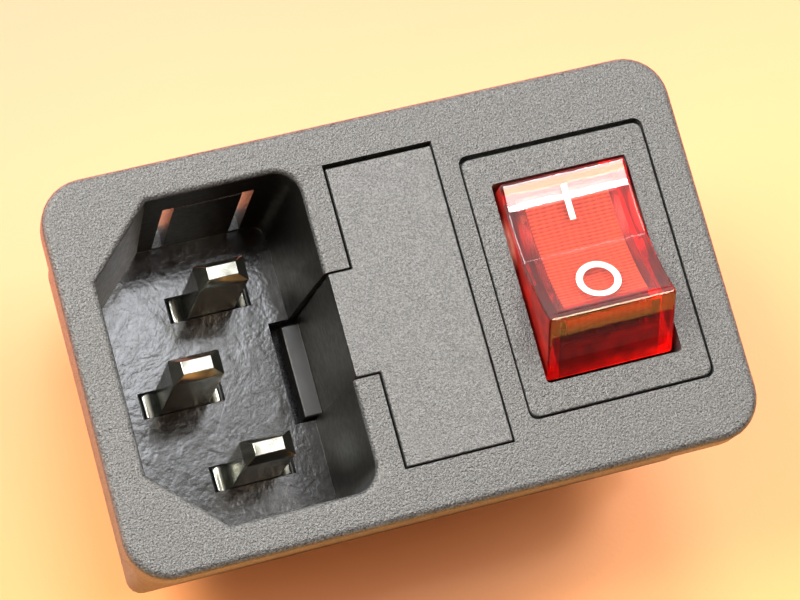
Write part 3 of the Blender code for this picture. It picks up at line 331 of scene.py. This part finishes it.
def redPolycarbonate():
    # moulded clear red, polished outside; frost, set on each face, marks what the mould leaves
    # matt. The matt faces get a painted glow for the light that the plastic carries, paler round
    # the pivots in a painted pool of light, and painted shade in places
    made, tree = newMaterial("clearRedPolycarbonate")
    place = add(tree, "TexCoord").outputs["Object"]
    drawn = add(tree, "Mapping", {"Vector": place, "Scale": (0.1, 1.0, 1.0)}).outputs["Vector"]
    (waveSize, waveDepth), (streakSize, streakDepth) = redPlastic["wave"], redPlastic["streak"]
    wave, streaks, scuff, cloud = (
        add(tree, "TexNoise", {"Vector": vector, "Scale": perMm(size),
                               "Detail": detail}).outputs["Fac"]
        for vector, size, detail in ((place, waveSize, 2.0), (drawn, streakSize, 2.0),
                                     (place, redPlastic["scuff"], 3.0),
                                     (place, redPlastic["cloud"], 2.0)))
    glossy, dull = redPlastic["roughness"]
    rough = add(tree, "MapRange", {"Value": scuff, "From Min": 0.35, "From Max": 0.7,
                                   "To Min": glossy, "To Max": dull}).outputs["Result"]
    clear = add(tree, "BsdfPrincipled", {
        "Base Color": toLinear("#ffffff"), "Roughness": rough, "IOR": redPlastic["ior"],
        "Transmission Weight": 1.0,
        "Normal": relief(tree, (wave, waveDepth), (streaks, streakDepth))})

    # distance from the line of the painted pool of light, wandering with the cloud
    away = place
    for operation, other in (("SUBTRACT", [v * mm for v in redPlastic["poolMiddle"]]),
                             ("MULTIPLY", (0.0, 1.0, 1.0))):
        away = add(tree, "VectorMath", {0: away, 1: other}, operation=operation).outputs["Vector"]
    away = add(tree, "VectorMath", {0: away}, operation="LENGTH").outputs["Value"]
    away = add(tree, "Math", {0: cloud, 1: redPlastic["poolWander"] * mm, 2: away},
               operation="MULTIPLY_ADD").outputs[0]

    along, level = rockerAxes(tree, place)
    sideways = add(tree, "SeparateXYZ", {"Vector": place}).outputs["X"]
    across = add(tree, "Math", {0: sideways, 1: rockerPivot.x}, operation="SUBTRACT").outputs[0]
    aside = add(tree, "Math", {0: across}, operation="ABSOLUTE").outputs[0]
    # each run: the distance that it follows, from where to where, and its values there
    runs = {
        "pool": (away, redPlastic["poolEdge"], (0.0, 1.0)),
        "poolGlow": (away, redPlastic["poolEdge"], (redPlastic["poolGlow"], 0.0)),
        "near": (along, redPlastic["nearRun"], (redPlastic["paintedNearShade"], 1.0)),
        "corner": (along, redPlastic["cornerRun"], (0.0, 1.0)),
        "below": (level, redPlastic["frostBelow"], (0.0, 1.0)),
        "rim": (level, redPlastic["edgeLight"], (redPlastic["glow"], redPlastic["edgeGlow"])),
        "beside": (aside, redPlastic["frostBeside"], (0.0, redPlastic["sideFrost"])),
    }
    run = {name: add(tree, "MapRange", {"Value": value,
                                        "From Min": start * mm, "From Max": end * mm,
                                        "To Min": low, "To Max": high}).outputs["Result"]
           for name, (value, (start, end), (low, high)) in runs.items()}

    # painted shade: the tone is darker to the left, at the right side's near end and at the ends;
    # it also varies in random patches
    frost = add(tree, "Attribute", attribute_name="frost").outputs["Vector"]
    ends = add(tree, "SeparateXYZ", {"Vector": frost}).outputs["Y"]
    right = add(tree, "Math", {0: run["near"], 1: run["corner"]}, operation="MAXIMUM").outputs[0]
    shade = add(tree, "MapRange", {"Value": across, "From Min": -redPlastic["sideRun"] * mm,
                                   "From Max": redPlastic["sideRun"] * mm,
                                   "To Min": redPlastic["paintedLeftShade"],
                                   "To Max": right}).outputs["Result"]
    darkest, palest = redPlastic["patches"]
    patchy = add(tree, "MapRange", {"Value": cloud, "From Min": 0.35, "From Max": 0.65,
                                    "To Min": darkest, "To Max": palest}).outputs["Result"]
    darker = add(tree, "MapRange", {"Value": ends, "To Min": 1.0,
                                    "To Max": redPlastic["paintedEndShade"]}).outputs["Result"]
    for factor in (patchy, darker):
        shade = add(tree, "Math", {0: shade, 1: factor}, operation="MULTIPLY").outputs[0]
    tone = add(tree, "ValToRGB", {"Fac": run["pool"]},
               zip((0.0, 1.0), redPlastic["tones"])).outputs["Color"]
    tone = add(tree, "VectorMath", {0: tone, "Scale": shade}, operation="SCALE").outputs["Vector"]
    # painted glow: at the lowest rim and round the pool
    paintedGlow = add(tree, "Math", {0: run["rim"], 1: run["poolGlow"]}, operation="ADD").outputs[0]
    matt = add(tree, "BsdfPrincipled", {
        "Base Color": tone, "Roughness": redPlastic["mattRoughness"], "IOR": redPlastic["ior"],
        "Emission Color": tone, "Emission Strength": paintedGlow})

    # the face's frost: its first part is matt all over, the second below the diffuser, the third
    # beside it
    kinds = add(tree, "CombineXYZ", {"X": 1.0, "Y": run["below"],
                                     "Z": run["beside"]}).outputs["Vector"]
    mask = add(tree, "VectorMath", {0: frost, 1: kinds}, operation="DOT_PRODUCT").outputs["Value"]
    skin = add(tree, "MixShader", {0: mask, 1: clear.outputs[0], 2: matt.outputs[0]})
    body = add(tree, "VolumeAbsorption", {"Color": toLinear(redPlastic["absorb"]),
                                          "Density": redPlastic["density"]})
    add(tree, "OutputMaterial", {"Surface": skin.outputs[0], "Volume": body.outputs["Volume"]})
    return made


diffuser = {
    "edge": 0.03,
    "ribPitch": 0.3,            # the ribs as they are, and the fainter ones across them
    "crossPitch": 0.57,
    "crossShare": 0.3,
    "ribDepth": 0.06,
    "cloud": 1.8,
    "cloudShare": 0.5,
    # the tone runs with the ribs' height, darker in their grooves: painted shade
    "tones": ("#a5722c", "#dcab58"),
    "roughness": 0.4,
    "ior": 1.49,
    "apronFrom": (4.6, 4.8),    # the turned-down ends start here, along the rocker
    "apronFade": (2.9, 3.9),    # and go from painted shade to painted glow between these heights
    # painted light at the ends: a darker tone and a near-black foot as shade, and a glow near the
    # top
    "apronShadeDepth": 0.85,
    "apronShadeTone": "#962a16",
    "apronFootShade": "#1a0604",
    "glowColour": "#ff5020",
    "endGlow": 0.22,
}
wavePeriod = math.tau / 20   # a wave texture of scale 1 repeats after this length


def ribbedDiffuser():
    # moulded amber acrylic, finely ribbed to spread the lamp's light; its ribs wander a little
    made, tree = newMaterial("ribbedDiffuserPlastic")
    place = add(tree, "TexCoord").outputs["Object"]
    levelled = (math.radians(-rocker["tilt"]), 0.0, 0.0)
    flat = add(tree, "Mapping", {"Vector": place, "Rotation": levelled}).outputs["Vector"]
    ribScale, crossScale = (wavePeriod * perMm(pitch)
                            for pitch in (diffuser["ribPitch"], diffuser["crossPitch"]))
    ribs = add(tree, "TexWave", {"Vector": flat, "Scale": ribScale, "Distortion": 1.6,
                                 "Detail": 2.0, "Detail Scale": 0.35},
               bands_direction="Y").outputs["Fac"]
    cross = add(tree, "TexWave", {"Vector": flat, "Scale": crossScale, "Distortion": 2.5,
                                  "Detail": 1.0},
                bands_direction="X").outputs["Fac"]
    cloud = add(tree, "TexNoise", {"Vector": place, "Scale": perMm(diffuser["cloud"]),
                                   "Detail": 3.0}).outputs["Fac"]
    height = add(tree, "Math", {0: cross, 1: diffuser["crossShare"], 2: ribs},
                 operation="MULTIPLY_ADD").outputs[0]
    paintedLightAndCloud = add(tree, "Math", {0: cloud, 1: diffuser["cloudShare"], 2: height},
                operation="MULTIPLY_ADD").outputs[0]
    # painted shade in the ribs' grooves, mixed with a random cloud
    tone = add(tree, "ValToRGB", {"Fac": paintedLightAndCloud},
               zip((0.2, 1.0), diffuser["tones"])).outputs["Color"]

    # at its turned-down ends a painted glow near the top stands for the light that the plate
    # carries, and painted shade darkens the ends, most at their foot
    along, level = rockerAxes(tree, place)
    outward = add(tree, "Math", {0: along}, operation="ABSOLUTE").outputs[0]
    ends, fade = (add(tree, "MapRange", {"Value": value, "From Min": start * mm,
                                         "From Max": end * mm}).outputs["Result"]
                  for value, (start, end) in ((outward, diffuser["apronFrom"]),
                                              (level, diffuser["apronFade"])))
    glow = add(tree, "Math", {0: fade, 1: diffuser["endGlow"]}, operation="MULTIPLY").outputs[0]
    paintedShadeShare = add(tree, "MapRange", {"Value": fade, "To Min": diffuser["apronShadeDepth"],
                                  "To Max": 0.0}).outputs["Result"]
    glow, paintedShadeShare = (add(tree, "Math", {0: value, 1: ends}, operation="MULTIPLY").outputs[0]
                  for value in (glow, paintedShadeShare))
    for share, shade in ((ends, diffuser["apronShadeTone"]), (paintedShadeShare, diffuser["apronFootShade"])):
        tone = add(tree, "Mix", {"Factor": share, 6: tone, 7: toLinear(shade)},
                   data_type="RGBA").outputs[2]
    shader = add(tree, "BsdfPrincipled", {
        "Base Color": tone, "Roughness": diffuser["roughness"], "IOR": diffuser["ior"],
        "Emission Color": toLinear(diffuser["glowColour"]), "Emission Strength": glow,
        "Normal": relief(tree, (height, diffuser["ribDepth"]))})
    add(tree, "OutputMaterial", {"Surface": shader.outputs[0]})
    return made


glass = {
    "tint": "#fbfdfa",
    "roughness": (0.01, 0.03),
    "ior": 1.5,
    "scuff": 0.2,
}


def drawnGlass():
    # clear drawn tube, as good as colourless, with faint scuffs
    made, tree = newMaterial("lampGlass")
    place = add(tree, "TexCoord").outputs["Object"]
    scuff = add(tree, "TexNoise", {"Vector": place, "Scale": perMm(glass["scuff"]), "Detail": 3.0})
    glossy, dull = glass["roughness"]
    rough = add(tree, "MapRange", {"Value": scuff.outputs["Fac"], "From Min": 0.35, "From Max": 0.7,
                                   "To Min": glossy, "To Max": dull}).outputs["Result"]
    shader = add(tree, "BsdfPrincipled", {
        "Base Color": toLinear(glass["tint"]), "Roughness": rough, "IOR": glass["ior"],
        "Transmission Weight": 1.0})
    add(tree, "OutputMaterial", {"Surface": shader.outputs[0]})
    return made


def plainPlastic(name, tones, roughness, grain, depth):
    # opaque and even, with a soft clouding and a faintly uneven skin
    made, tree = newMaterial(name)
    place = add(tree, "TexCoord").outputs["Object"]
    cloud = add(tree, "TexNoise", {"Vector": place, "Scale": perMm(grain), "Detail": 4.0,
                                   "Roughness": 0.6}).outputs["Fac"]
    tone = add(tree, "ValToRGB", {"Fac": cloud}, zip((0.3, 0.75), tones)).outputs["Color"]
    shader = add(tree, "BsdfPrincipled", {"Base Color": tone, "Roughness": roughness,
                                          "Normal": relief(tree, (cloud, depth))})
    add(tree, "OutputMaterial", {"Surface": shader.outputs[0]})
    return made


lampGlass = drawnGlass()
diffuserPlastic = ribbedDiffuser()
# milky moulded nylon, the resistor's glossy beige dip and the marks' white pad-printed ink
naturalNylon = plainPlastic("naturalNylon", ("#e9e5d8", "#dcd7c8"), 0.45, 0.5, 0.01)
resistorLacquer = plainPlastic("resistorLacquer", ("#c9a878", "#b8955f"), 0.35, 0.4, 0.01)
markInk = plainPlastic("whiteMarkingInk", ("#f6f3ef", "#ece7e2"), 0.42, 0.3, 0.004)


# Dressed nodes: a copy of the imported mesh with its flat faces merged, its edges rounded and its
# curves smooth

dressing = {
    "merge": 0.002,
    "flatAngle": 0.4,
    "sharpAngle": 38,
}


def dressNode(node, materials, edge, segments=3, smooth=dressing["sharpAngle"],
              pick=None, rounder=None):
    # edge is the radius in mm; pick gives a face its material by its centre and normal, and rounder
    # may give an edge another radius by its middle
    source = nodes[node]
    mesh = source.data.copy()
    mesh.name = node + "Dressed"
    shape = bmesh.new()
    shape.from_mesh(mesh)
    bmesh.ops.remove_doubles(shape, verts=shape.verts, dist=dressing["merge"] * mm)
    bmesh.ops.dissolve_limit(shape, angle_limit=math.radians(dressing["flatAngle"]),
                             verts=shape.verts, edges=shape.edges)
    bmesh.ops.connect_verts_concave(shape, faces=shape.faces)
    widest = edge
    if edge > 0.0:
        weights = shape.edges.layers.float.new("bevel_weight_edge")
        radii = {}
        for line in shape.edges:
            if len(line.link_faces) == 2 and line.calc_face_angle(0.0) > math.radians(smooth):
                middle = (line.verts[0].co + line.verts[1].co) / 2
                radii[line] = rounder(middle) if rounder else edge
        widest = max(radii.values(), default=edge)
        for line, radius in radii.items():
            line[weights] = radius / widest
    shape.to_mesh(mesh)
    shape.free()
    if mesh.attributes.get("custom_normal"):
        mesh.attributes.remove(mesh.attributes["custom_normal"])
    piece = bpy.data.objects.new(node + "_dressed", mesh)
    bpy.context.scene.collection.objects.link(piece)
    mesh.materials.clear()
    for finish in materials:
        mesh.materials.append(finish)
    for face in mesh.polygons:
        face.material_index = pick(face.center, face.normal) if pick else 0
    mesh.shade_smooth()
    if edge > 0.0:
        rounding = piece.modifiers.new("roundedEdges", "BEVEL")
        rounding.width = widest * mm
        rounding.segments = segments
        rounding.limit_method = "WEIGHT"
        rounding.use_clamp_overlap = True
        rounding.miter_outer = "MITER_ARC"
    else:
        mesh.set_sharp_from_angle(angle=math.radians(smooth))
    flat = piece.modifiers.new("flatFacesStayFlat", "WEIGHTED_NORMAL")
    flat.keep_sharp = True
    bpy.context.view_layer.update()
    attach(piece, bodyOf[node])
    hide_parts(node)
    return piece


print("stage: housing")
housing = {
    "edge": 0.09,
    "mouthEdge": 0.32,
    "mouthHalf": 12.9,          # the mouth of the cup to each side of the middle line
    "mouthFrom": 2.0,           # and from the flange's left end
    "cupLeft": -22.3,
    "cupHalf": 12.75,
    "cupPastDrawer": 2.3,       # the cup ends this far beyond the drawer's left side
    "cupDepths": (0.4, 15.8),   # polished between these depths
    "faceLevel": 0.02,          # an edge this close to the front lies in it
}
bezel = {
    "edge": 0.07,
}
drawer = {
    "edge": 0.08,
    "facePlate": 1.2,           # thickness of the grained plate
    "fingerWall": 2.4,          # width of the smooth strip on its left
}
cupRight = drawerLow.x + housing["cupPastDrawer"] * mm


def housingPick(centre, normal):
    # the cup's walls and floor are polished, the rest is grained
    beside = abs(centre.y) < housing["cupHalf"] * mm
    inCup = beside and housing["cupLeft"] * mm < centre.x < cupRight
    top, bottom = (frontZ - depth * mm for depth in housing["cupDepths"])
    if not inCup or not bottom <= centre.z <= top:
        return 0
    return 1 if normal.z > 0.9 else 2


def housingEdge(middle):
    # the mouth of the cup is softly rounded, most at the drawer's side
    inFace = abs(middle.z - frontZ) < housing["faceLevel"] * mm
    beside = abs(middle.y) < housing["mouthHalf"] * mm
    if inFace and beside and housingLow.x + housing["mouthFrom"] * mm < middle.x < cupRight:
        return housing["mouthEdge"]
    return housing["edge"]


def drawerPick(centre, normal):
    # only the face plate is grained, the finger wall and the cradle behind it are smooth
    behind = centre.z < frontZ - drawer["facePlate"] * mm
    fingerWall = centre.x < drawerLow.x + drawer["fingerWall"] * mm and abs(normal.z) < 0.5
    return 1 if behind or fingerWall else 0


dressNode("housing", [flangeNylon, cupFloorNylon, shadedCupWallNylon], housing["edge"],
          pick=housingPick, rounder=housingEdge)
dressNode("switch_body", [bezelNylon], bezel["edge"])
dressNode("fuse_drawer", [drawerNylon, shadedCupWallNylon], drawer["edge"],
          pick=drawerPick)

print("stage: pins, fuse and contacts")
pins = {
    "names": ("pin_live", "pin_neutral", "pin_earth"),
    "edge": 0.12,
    "tipEdge": 0.2,      # the tips are worn round by the plug
    "tipDepth": 0.3,
}
for node in pins["names"]:
    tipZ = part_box(node)[1].z - pins["tipDepth"] * mm
    dressNode(node, [nickelPlate, blankedTip], pins["edge"],
              pick=lambda centre, normal: 1 if centre.z > tipZ and normal.z > 0.9 else 0,
              rounder=lambda middle: pins["tipEdge"] if middle.z > tipZ else pins["edge"])


# dark plugs in the pins' slots: painted shade
shadePlug = {
    "cupDepth": 15.5,
    "depth": 0.9,               # below the floor of the cup
    "thick": 0.7,
    "slot": (3.35, 1.05),       # half its length and width
    "shoulder": (3.0, 0.9),     # the same of the pin
    "outside": 0.12,            # how far the bead goes into the wall
    "inside": 0.05,             # and into the pin
    "sag": 0.12,
    "steps": 6,
}
cupFloorZ = frontZ - shadePlug["cupDepth"] * mm


def pinShadePlug(node):
    # a dark bead fills the gap between the shoulder and its slot, its surface drawn up at both
    # sides: painted shade that blocks the light coming up through the gap
    low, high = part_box(node)
    x, y = (low.x + high.x) / 2, (low.y + high.y) / 2
    inner = [side - shadePlug["inside"] for side in shadePlug["shoulder"]]
    outer = [side + shadePlug["outside"] for side in shadePlug["slot"]]
    rings = []
    for step in range(shadePlug["steps"] + 1):
        part = step / shadePlug["steps"]
        half = [a + (b - a) * part for a, b in zip(inner, outer)]
        rings.append((half, shadePlug["depth"] + shadePlug["sag"] * math.sin(math.pi * part)))
    rings += [(half, shadePlug["depth"] + shadePlug["thick"]) for half in (outer, inner)]
    shape = bmesh.new()
    loops = [[shape.verts.new((x + sx * halfX * mm, y + sy * halfY * mm, cupFloorZ - depth * mm))
              for sx, sy in ((-1, -1), (1, -1), (1, 1), (-1, 1))]
             for (halfX, halfY), depth in rings]
    for loop, following in zip(loops, loops[1:] + loops[:1]):
        for i in range(4):
            shape.faces.new((loop[i], loop[(i + 1) % 4], following[(i + 1) % 4], following[i]))
    bmesh.ops.recalc_face_normals(shape, faces=shape.faces)
    mesh = bpy.data.meshes.new(node + "Seal")
    shape.to_mesh(mesh)
    shape.free()
    mesh.materials.append(shadedCupWallNylon)
    piece = bpy.data.objects.new("seal_" + node, mesh)
    bpy.context.scene.collection.objects.link(piece)
    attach(piece, bodyOf[node])


for node in pins["names"]:
    pinShadePlug(node)

shadeLine = 14.0   # height above which the brass inside the switch takes the painted-shade copy


def shadePick(centre, normal):
    return 1 if centre.z > shadeLine * mm else 0


# nodes, their materials, the radius of their edges, their slot and what picks their material
smallParts = (
    (("fuse_cap_near", "fuse_cap_far", "lamp_lead_joint", "lamp_lead_far", "lamp_lead_near"),
     [nickelPlate], 0.0, "nickel_plate", None),
    (("fuse_clip_in", "fuse_clip_out", "live_link", "terminal_lamp"),
     [rolledBrass], 0.05, "brass_sheet", None),
    (("terminal_feed", "terminal_load", "contact_lever"),
     [rolledBrass, shadedBrass], 0.05, "brass_sheet", shadePick),
    (("fixed_contact", "moving_contact"), [silverRivet], 0.08, "silver_contact", None),
    (("fuse_wire", "plunger_spring"), [springWire], 0.0, "spring_steel", None),
    (("fuse_glass",), [lampGlass], 0.04, "clear_glass", None),
    (("neon_lamp",), [lampGlass], 0.0, "clear_glass", None),
    (("lamp_resistor",), [resistorLacquer], 0.0, "resistor_lacquer", None),
    (("plunger",), [naturalNylon], 0.0, "natural_nylon", None),
)
for members, finishes, edge, slotName, picker in smallParts:
    for node in members:
        dressNode(node, finishes, edge, 2, pick=picker)

print("stage: rocker")
frostLimits = {
    "core": 4.0,                # the stem and its web lie this close to the pivot
    "topUnderside": 3.2,        # and below this height
    "roof": 1.5,                # the top's underside lies above this one
    "sideways": 0.9,            # the least share of a face's normal that makes it a side,
    "endways": 0.8,             # an end
    "downwards": 0.5,           # or an underside
    "smooth": 25,               # edges below this angle are shaded smooth
}
dressedDiffuser = dressNode("light_diffuser", [diffuserPlastic], diffuser["edge"], 2)
dressedRocker = dressNode("rocker", [redPolycarbonate()], 0.0,
                          smooth=frostLimits["smooth"])
frost = dressedRocker.data.attributes.new("frost", "FLOAT_VECTOR", "FACE")
for face in dressedRocker.data.polygons:
    # matt: the sides and the stem with its web, the end walls below the diffuser, the top's
    # underside beside it
    x, y, z = (leveller @ (face.center - rockerPivot)) / mm
    facing = leveller @ face.normal
    core = max(abs(x), abs(y)) < frostLimits["core"] and z < frostLimits["topUnderside"]
    side = abs(facing.x) > frostLimits["sideways"]
    under = facing.z < -frostLimits["downwards"]
    roof = under and z > frostLimits["roof"]
    if side or (under and z < 0.0) or (core and not roof):
        frost.data[face.index].vector = (1.0, 0.0, 0.0)
    elif abs(facing.y) > frostLimits["endways"] and facing.y * y < 0.0:
        frost.data[face.index].vector = (0.0, 1.0, 0.0)
    elif roof:
        frost.data[face.index].vector = (0.0, 0.0, 1.0)


def easeBetween(value, start, end):
    # goes softly from 0 at start to 1 at end
    step = min(max((value - start) / (end - start), 0.0), 1.0)
    return step * step * (3 - 2 * step)


def dishArc(y):
    # how far the dish has risen above its lowest line
    held = min(abs(y), rocker["halfTop"] + rocker["reach"])
    return dishRadius - math.sqrt(dishRadius ** 2 - held ** 2)


def reachOut(piece):
    # the rocker's skin stands a little further out than the solid's: the pressed end as a whole,
    # with its dish going on along the arc, and the raised end only low down
    for vertex in piece.data.vertices:
        x, y, z = (leveller @ (vertex.co - rockerPivot)) / mm
        share = easeBetween(abs(y), *rocker["reachFrom"])
        if y > 0.0:
            reached = y + rocker["reach"] * share
            rise = dishArc(reached) - dishArc(min(y, rocker["halfTop"]))
            z += rise * easeBetween(z, *rocker["dishRuns"])
        else:
            reached = y - rocker["reach"] * share * easeBetween(z, *rocker["reachSinks"])
        vertex.co = rockerPivot + tilted @ (Vector((x, reached, z)) * mm)
    piece.data.update()


reachOut(dressedRocker)
reachOut(dressedDiffuser)

marks = {
    "line": {"middle": (-0.15, 3.89), "half": (0.24, 1.36), "steps": 16},
    "ring": {"middle": (-0.04, -2.98), "inner": 1.2, "outer": 1.72, "steps": 64},
    "lift": 0.004,
    "thick": 0.02,
    "merge": 0.0005,
}


def onDish(x, y, lift):
    # a point of the dished top, this far above it
    z = rocker["rise"] - rocker["dish"] + dishRadius - math.sqrt((dishRadius - lift) ** 2 - y * y)
    return rockerPivot + tilted @ (Vector((x, y, z)) * mm)


def printedMark(name, rows):
    # rows of points make a skin that lies on the dish, with a little thickness
    shape = bmesh.new()
    grid = [[shape.verts.new(onDish(x, y, marks["lift"])) for x, y in row] for row in rows]
    for row, following in zip(grid, grid[1:]):
        for i in range(len(row) - 1):
            shape.faces.new((row[i], row[i + 1], following[i + 1], following[i]))
    bmesh.ops.remove_doubles(shape, verts=shape.verts, dist=marks["merge"] * mm)
    bmesh.ops.recalc_face_normals(shape, faces=shape.faces)
    if sum(face.normal.z for face in shape.faces) < 0:
        bmesh.ops.reverse_faces(shape, faces=shape.faces)
    mesh = bpy.data.meshes.new(name)
    shape.to_mesh(mesh)
    shape.free()
    mesh.materials.append(markInk)
    mesh.shade_smooth()
    piece = bpy.data.objects.new(name, mesh)
    bpy.context.scene.collection.objects.link(piece)
    body = piece.modifiers.new("inkThickness", "SOLIDIFY")
    body.thickness = marks["thick"] * mm
    body.offset = 1.0
    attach(piece, "rocker")


line, ring = marks["line"], marks["ring"]
(lineX, lineY), (lineHalfX, lineHalfY) = line["middle"], line["half"]
shares = [2 * i / line["steps"] - 1 for i in range(line["steps"] + 1)]
printedMark("mark_line", [[(lineX + side * lineHalfX, lineY + share * lineHalfY)
                           for side in (-1, 1)] for share in shares])
ringX, ringY = ring["middle"]
turns = [math.tau * i / ring["steps"] for i in range(ring["steps"] + 1)]
printedMark("mark_ring", [[(ringX + radius * math.cos(turn), ringY + radius * math.sin(turn))
                           for radius in (ring["inner"], ring["outer"])] for turn in turns])


# Camera: the photograph's viewpoint

camera = {
    "place": (-47.96, -37.75, 246.83),
    "turn": (12.743, -9.326, -15.482),
    "lens": 135.02,
    "sensor": 36.0,
    "clip": (10.0, 20000.0),
}
view = bpy.data.cameras.new("camera")
view.lens = camera["lens"]
view.sensor_width = camera["sensor"]
view.clip_start, view.clip_end = (distance * mm for distance in camera["clip"])
eye = bpy.data.objects.new("camera", view)
bpy.context.scene.collection.objects.link(eye)
eye.location = Vector(camera["place"]) * mm
eye.rotation_euler = [math.radians(a) for a in camera["turn"]]
bpy.context.scene.camera = eye


print("stage: floor and light")
floor = {
    "half": 1500.0,
    # painted light: the card's colour is lighter and yellower on the near side
    "farColour": "#e8735c",
    "nearColour": "#e8b160",
    "toneRun": 60.0,
    "cloud": 60.0,
    "cloudShare": 0.12,
    "fibre": 0.4,         # real fibres are ten times finer and would not show
    "fibreDepth": 0.01,
    "roughness": 0.5,
}


def creamCard():
    # smooth warm card, coated and faintly fibrous; painted light: its tone goes lighter and
    # yellower towards the near side
    made, tree = newMaterial("creamCard")
    place = add(tree, "TexCoord").outputs["Object"]
    fibre, cloud = (add(tree, "TexNoise", {"Vector": place, "Scale": perMm(size),
                                           "Detail": detail}).outputs["Fac"]
                    for size, detail in ((floor["fibre"], 3.0), (floor["cloud"], 2.0)))
    across = add(tree, "SeparateXYZ", {"Vector": place}).outputs["Y"]
    paintedLightShare = add(tree, "MapRange", {"Value": across, "From Min": -floor["toneRun"] * mm,
                                   "From Max": floor["toneRun"] * mm}).outputs["Result"]
    paintedLightAndCloud = add(tree, "Math", {0: cloud, 1: floor["cloudShare"], 2: paintedLightShare},
                operation="MULTIPLY_ADD").outputs[0]
    tone = add(tree, "ValToRGB", {"Fac": paintedLightAndCloud},
               [(0.0, floor["nearColour"]), (1.0, floor["farColour"])]).outputs["Color"]
    shader = add(tree, "BsdfPrincipled", {"Base Color": tone, "Roughness": floor["roughness"],
                                          "Normal": relief(tree, (fibre, floor["fibreDepth"]))})
    add(tree, "OutputMaterial", {"Surface": shader.outputs[0]})
    return made


card = bmesh.new()
bmesh.ops.create_grid(card, x_segments=1, y_segments=1, size=floor["half"] * mm)
cardMesh = bpy.data.meshes.new("floor")
card.to_mesh(cardMesh)
card.free()
cardMesh.materials.append(creamCard())
ground = bpy.data.objects.new("floor", cardMesh)
bpy.context.scene.collection.objects.link(ground)

# each light, as seen from the object: where its middle leans from straight up towards +X and +Y,
# how far it reaches to either side of that, its distance in metres and how bright its face is
lights = {
    "mainSoftbox": {"lean": (2, 26), "reach": (6.5, 17), "away": 0.62, "bright": 13.6,
                    "colour": "#f6f9ff"},
    "leftPanel": {"lean": (-34, 28), "reach": (11, 17), "away": 0.8, "bright": 24.0,
                  "colour": "#fff8ea"},
    "rightPanel": {"lean": (35, 26), "reach": (9, 15), "away": 0.8, "bright": 8.5,
                   "colour": "#fff8ea"},
    "rightStrip": {"lean": (17.5, 4.5), "reach": (5, 2.0), "away": 0.6, "bright": 42.0,
                   "colour": "#ffffff"},
    "paleStrip": {"lean": (17.5, -0.3), "reach": (5, 2.7), "away": 0.6, "bright": 15.0,
                  "colour": "#fff4ee"},
    "creamStrip": {"lean": (17.5, -8.2), "reach": (5, 5.1), "away": 0.6, "bright": 18.0,
                   "colour": "#ffe6c4"},
    "tentSeam": {"lean": (14, 43), "reach": (20, 0.35), "away": 0.75, "bright": 5.0,
                 "colour": "#ffffff"},
}
for name, light in lights.items():
    lamp = bpy.data.lights.new(name, "AREA")
    lamp.shape = "RECTANGLE"
    lamp.size, lamp.size_y = (2 * light["away"] * math.tan(math.radians(a)) for a in light["reach"])
    lamp.energy = math.pi * light["bright"] * lamp.size * lamp.size_y
    lamp.color = toLinear(light["colour"])[:3]
    holder = bpy.data.objects.new(name, lamp)
    bpy.context.scene.collection.objects.link(holder)
    holder.visible_camera = False
    leanX, leanY = (math.tan(math.radians(a)) for a in light["lean"])
    way = Vector((leanX, leanY, 1.0)).normalized()
    across = (Vector((1, 0, 0)) - way * way.x).normalized()
    turn = Matrix((across, way.cross(across), way)).transposed().to_4x4()
    holder.matrix_world = Matrix.Translation(Vector((0, 0, frontZ)) + way * light["away"]) @ turn

# the room: a white light tent on the far side of the object, and the warm table on the near side
room = {
    "bright": 1.7,
    "warm": 0.12,
    "tentColour": "#fffcf7",
    "warmColour": "#ff9a44",
    "edge": (-0.12, 0.16),   # where one turns into the other, from -1 on the near side to 1
}
world = bpy.data.worlds.new("room")
bpy.context.scene.world = world
world.use_nodes = True
sky = world.node_tree
sky.nodes.clear()
way = add(sky, "TexCoord").outputs["Generated"]
towards = add(sky, "SeparateXYZ", {"Vector": way}).outputs["Y"]
share = add(sky, "MapRange", {"Value": towards, "From Min": room["edge"][0],
                              "From Max": room["edge"][1]},
            interpolation_type="SMOOTHSTEP").outputs["Result"]
near = add(sky, "Background", {"Color": toLinear(room["warmColour"]), "Strength": room["warm"]})
tent = add(sky, "Background", {"Color": toLinear(room["tentColour"]), "Strength": room["bright"]})
both = add(sky, "MixShader", {0: share, 1: near.outputs[0], 2: tent.outputs[0]})
add(sky, "OutputWorld", {"Surface": both.outputs[0]})
bpy.context.scene.view_settings.view_transform = "Standard"

print("stage: done")
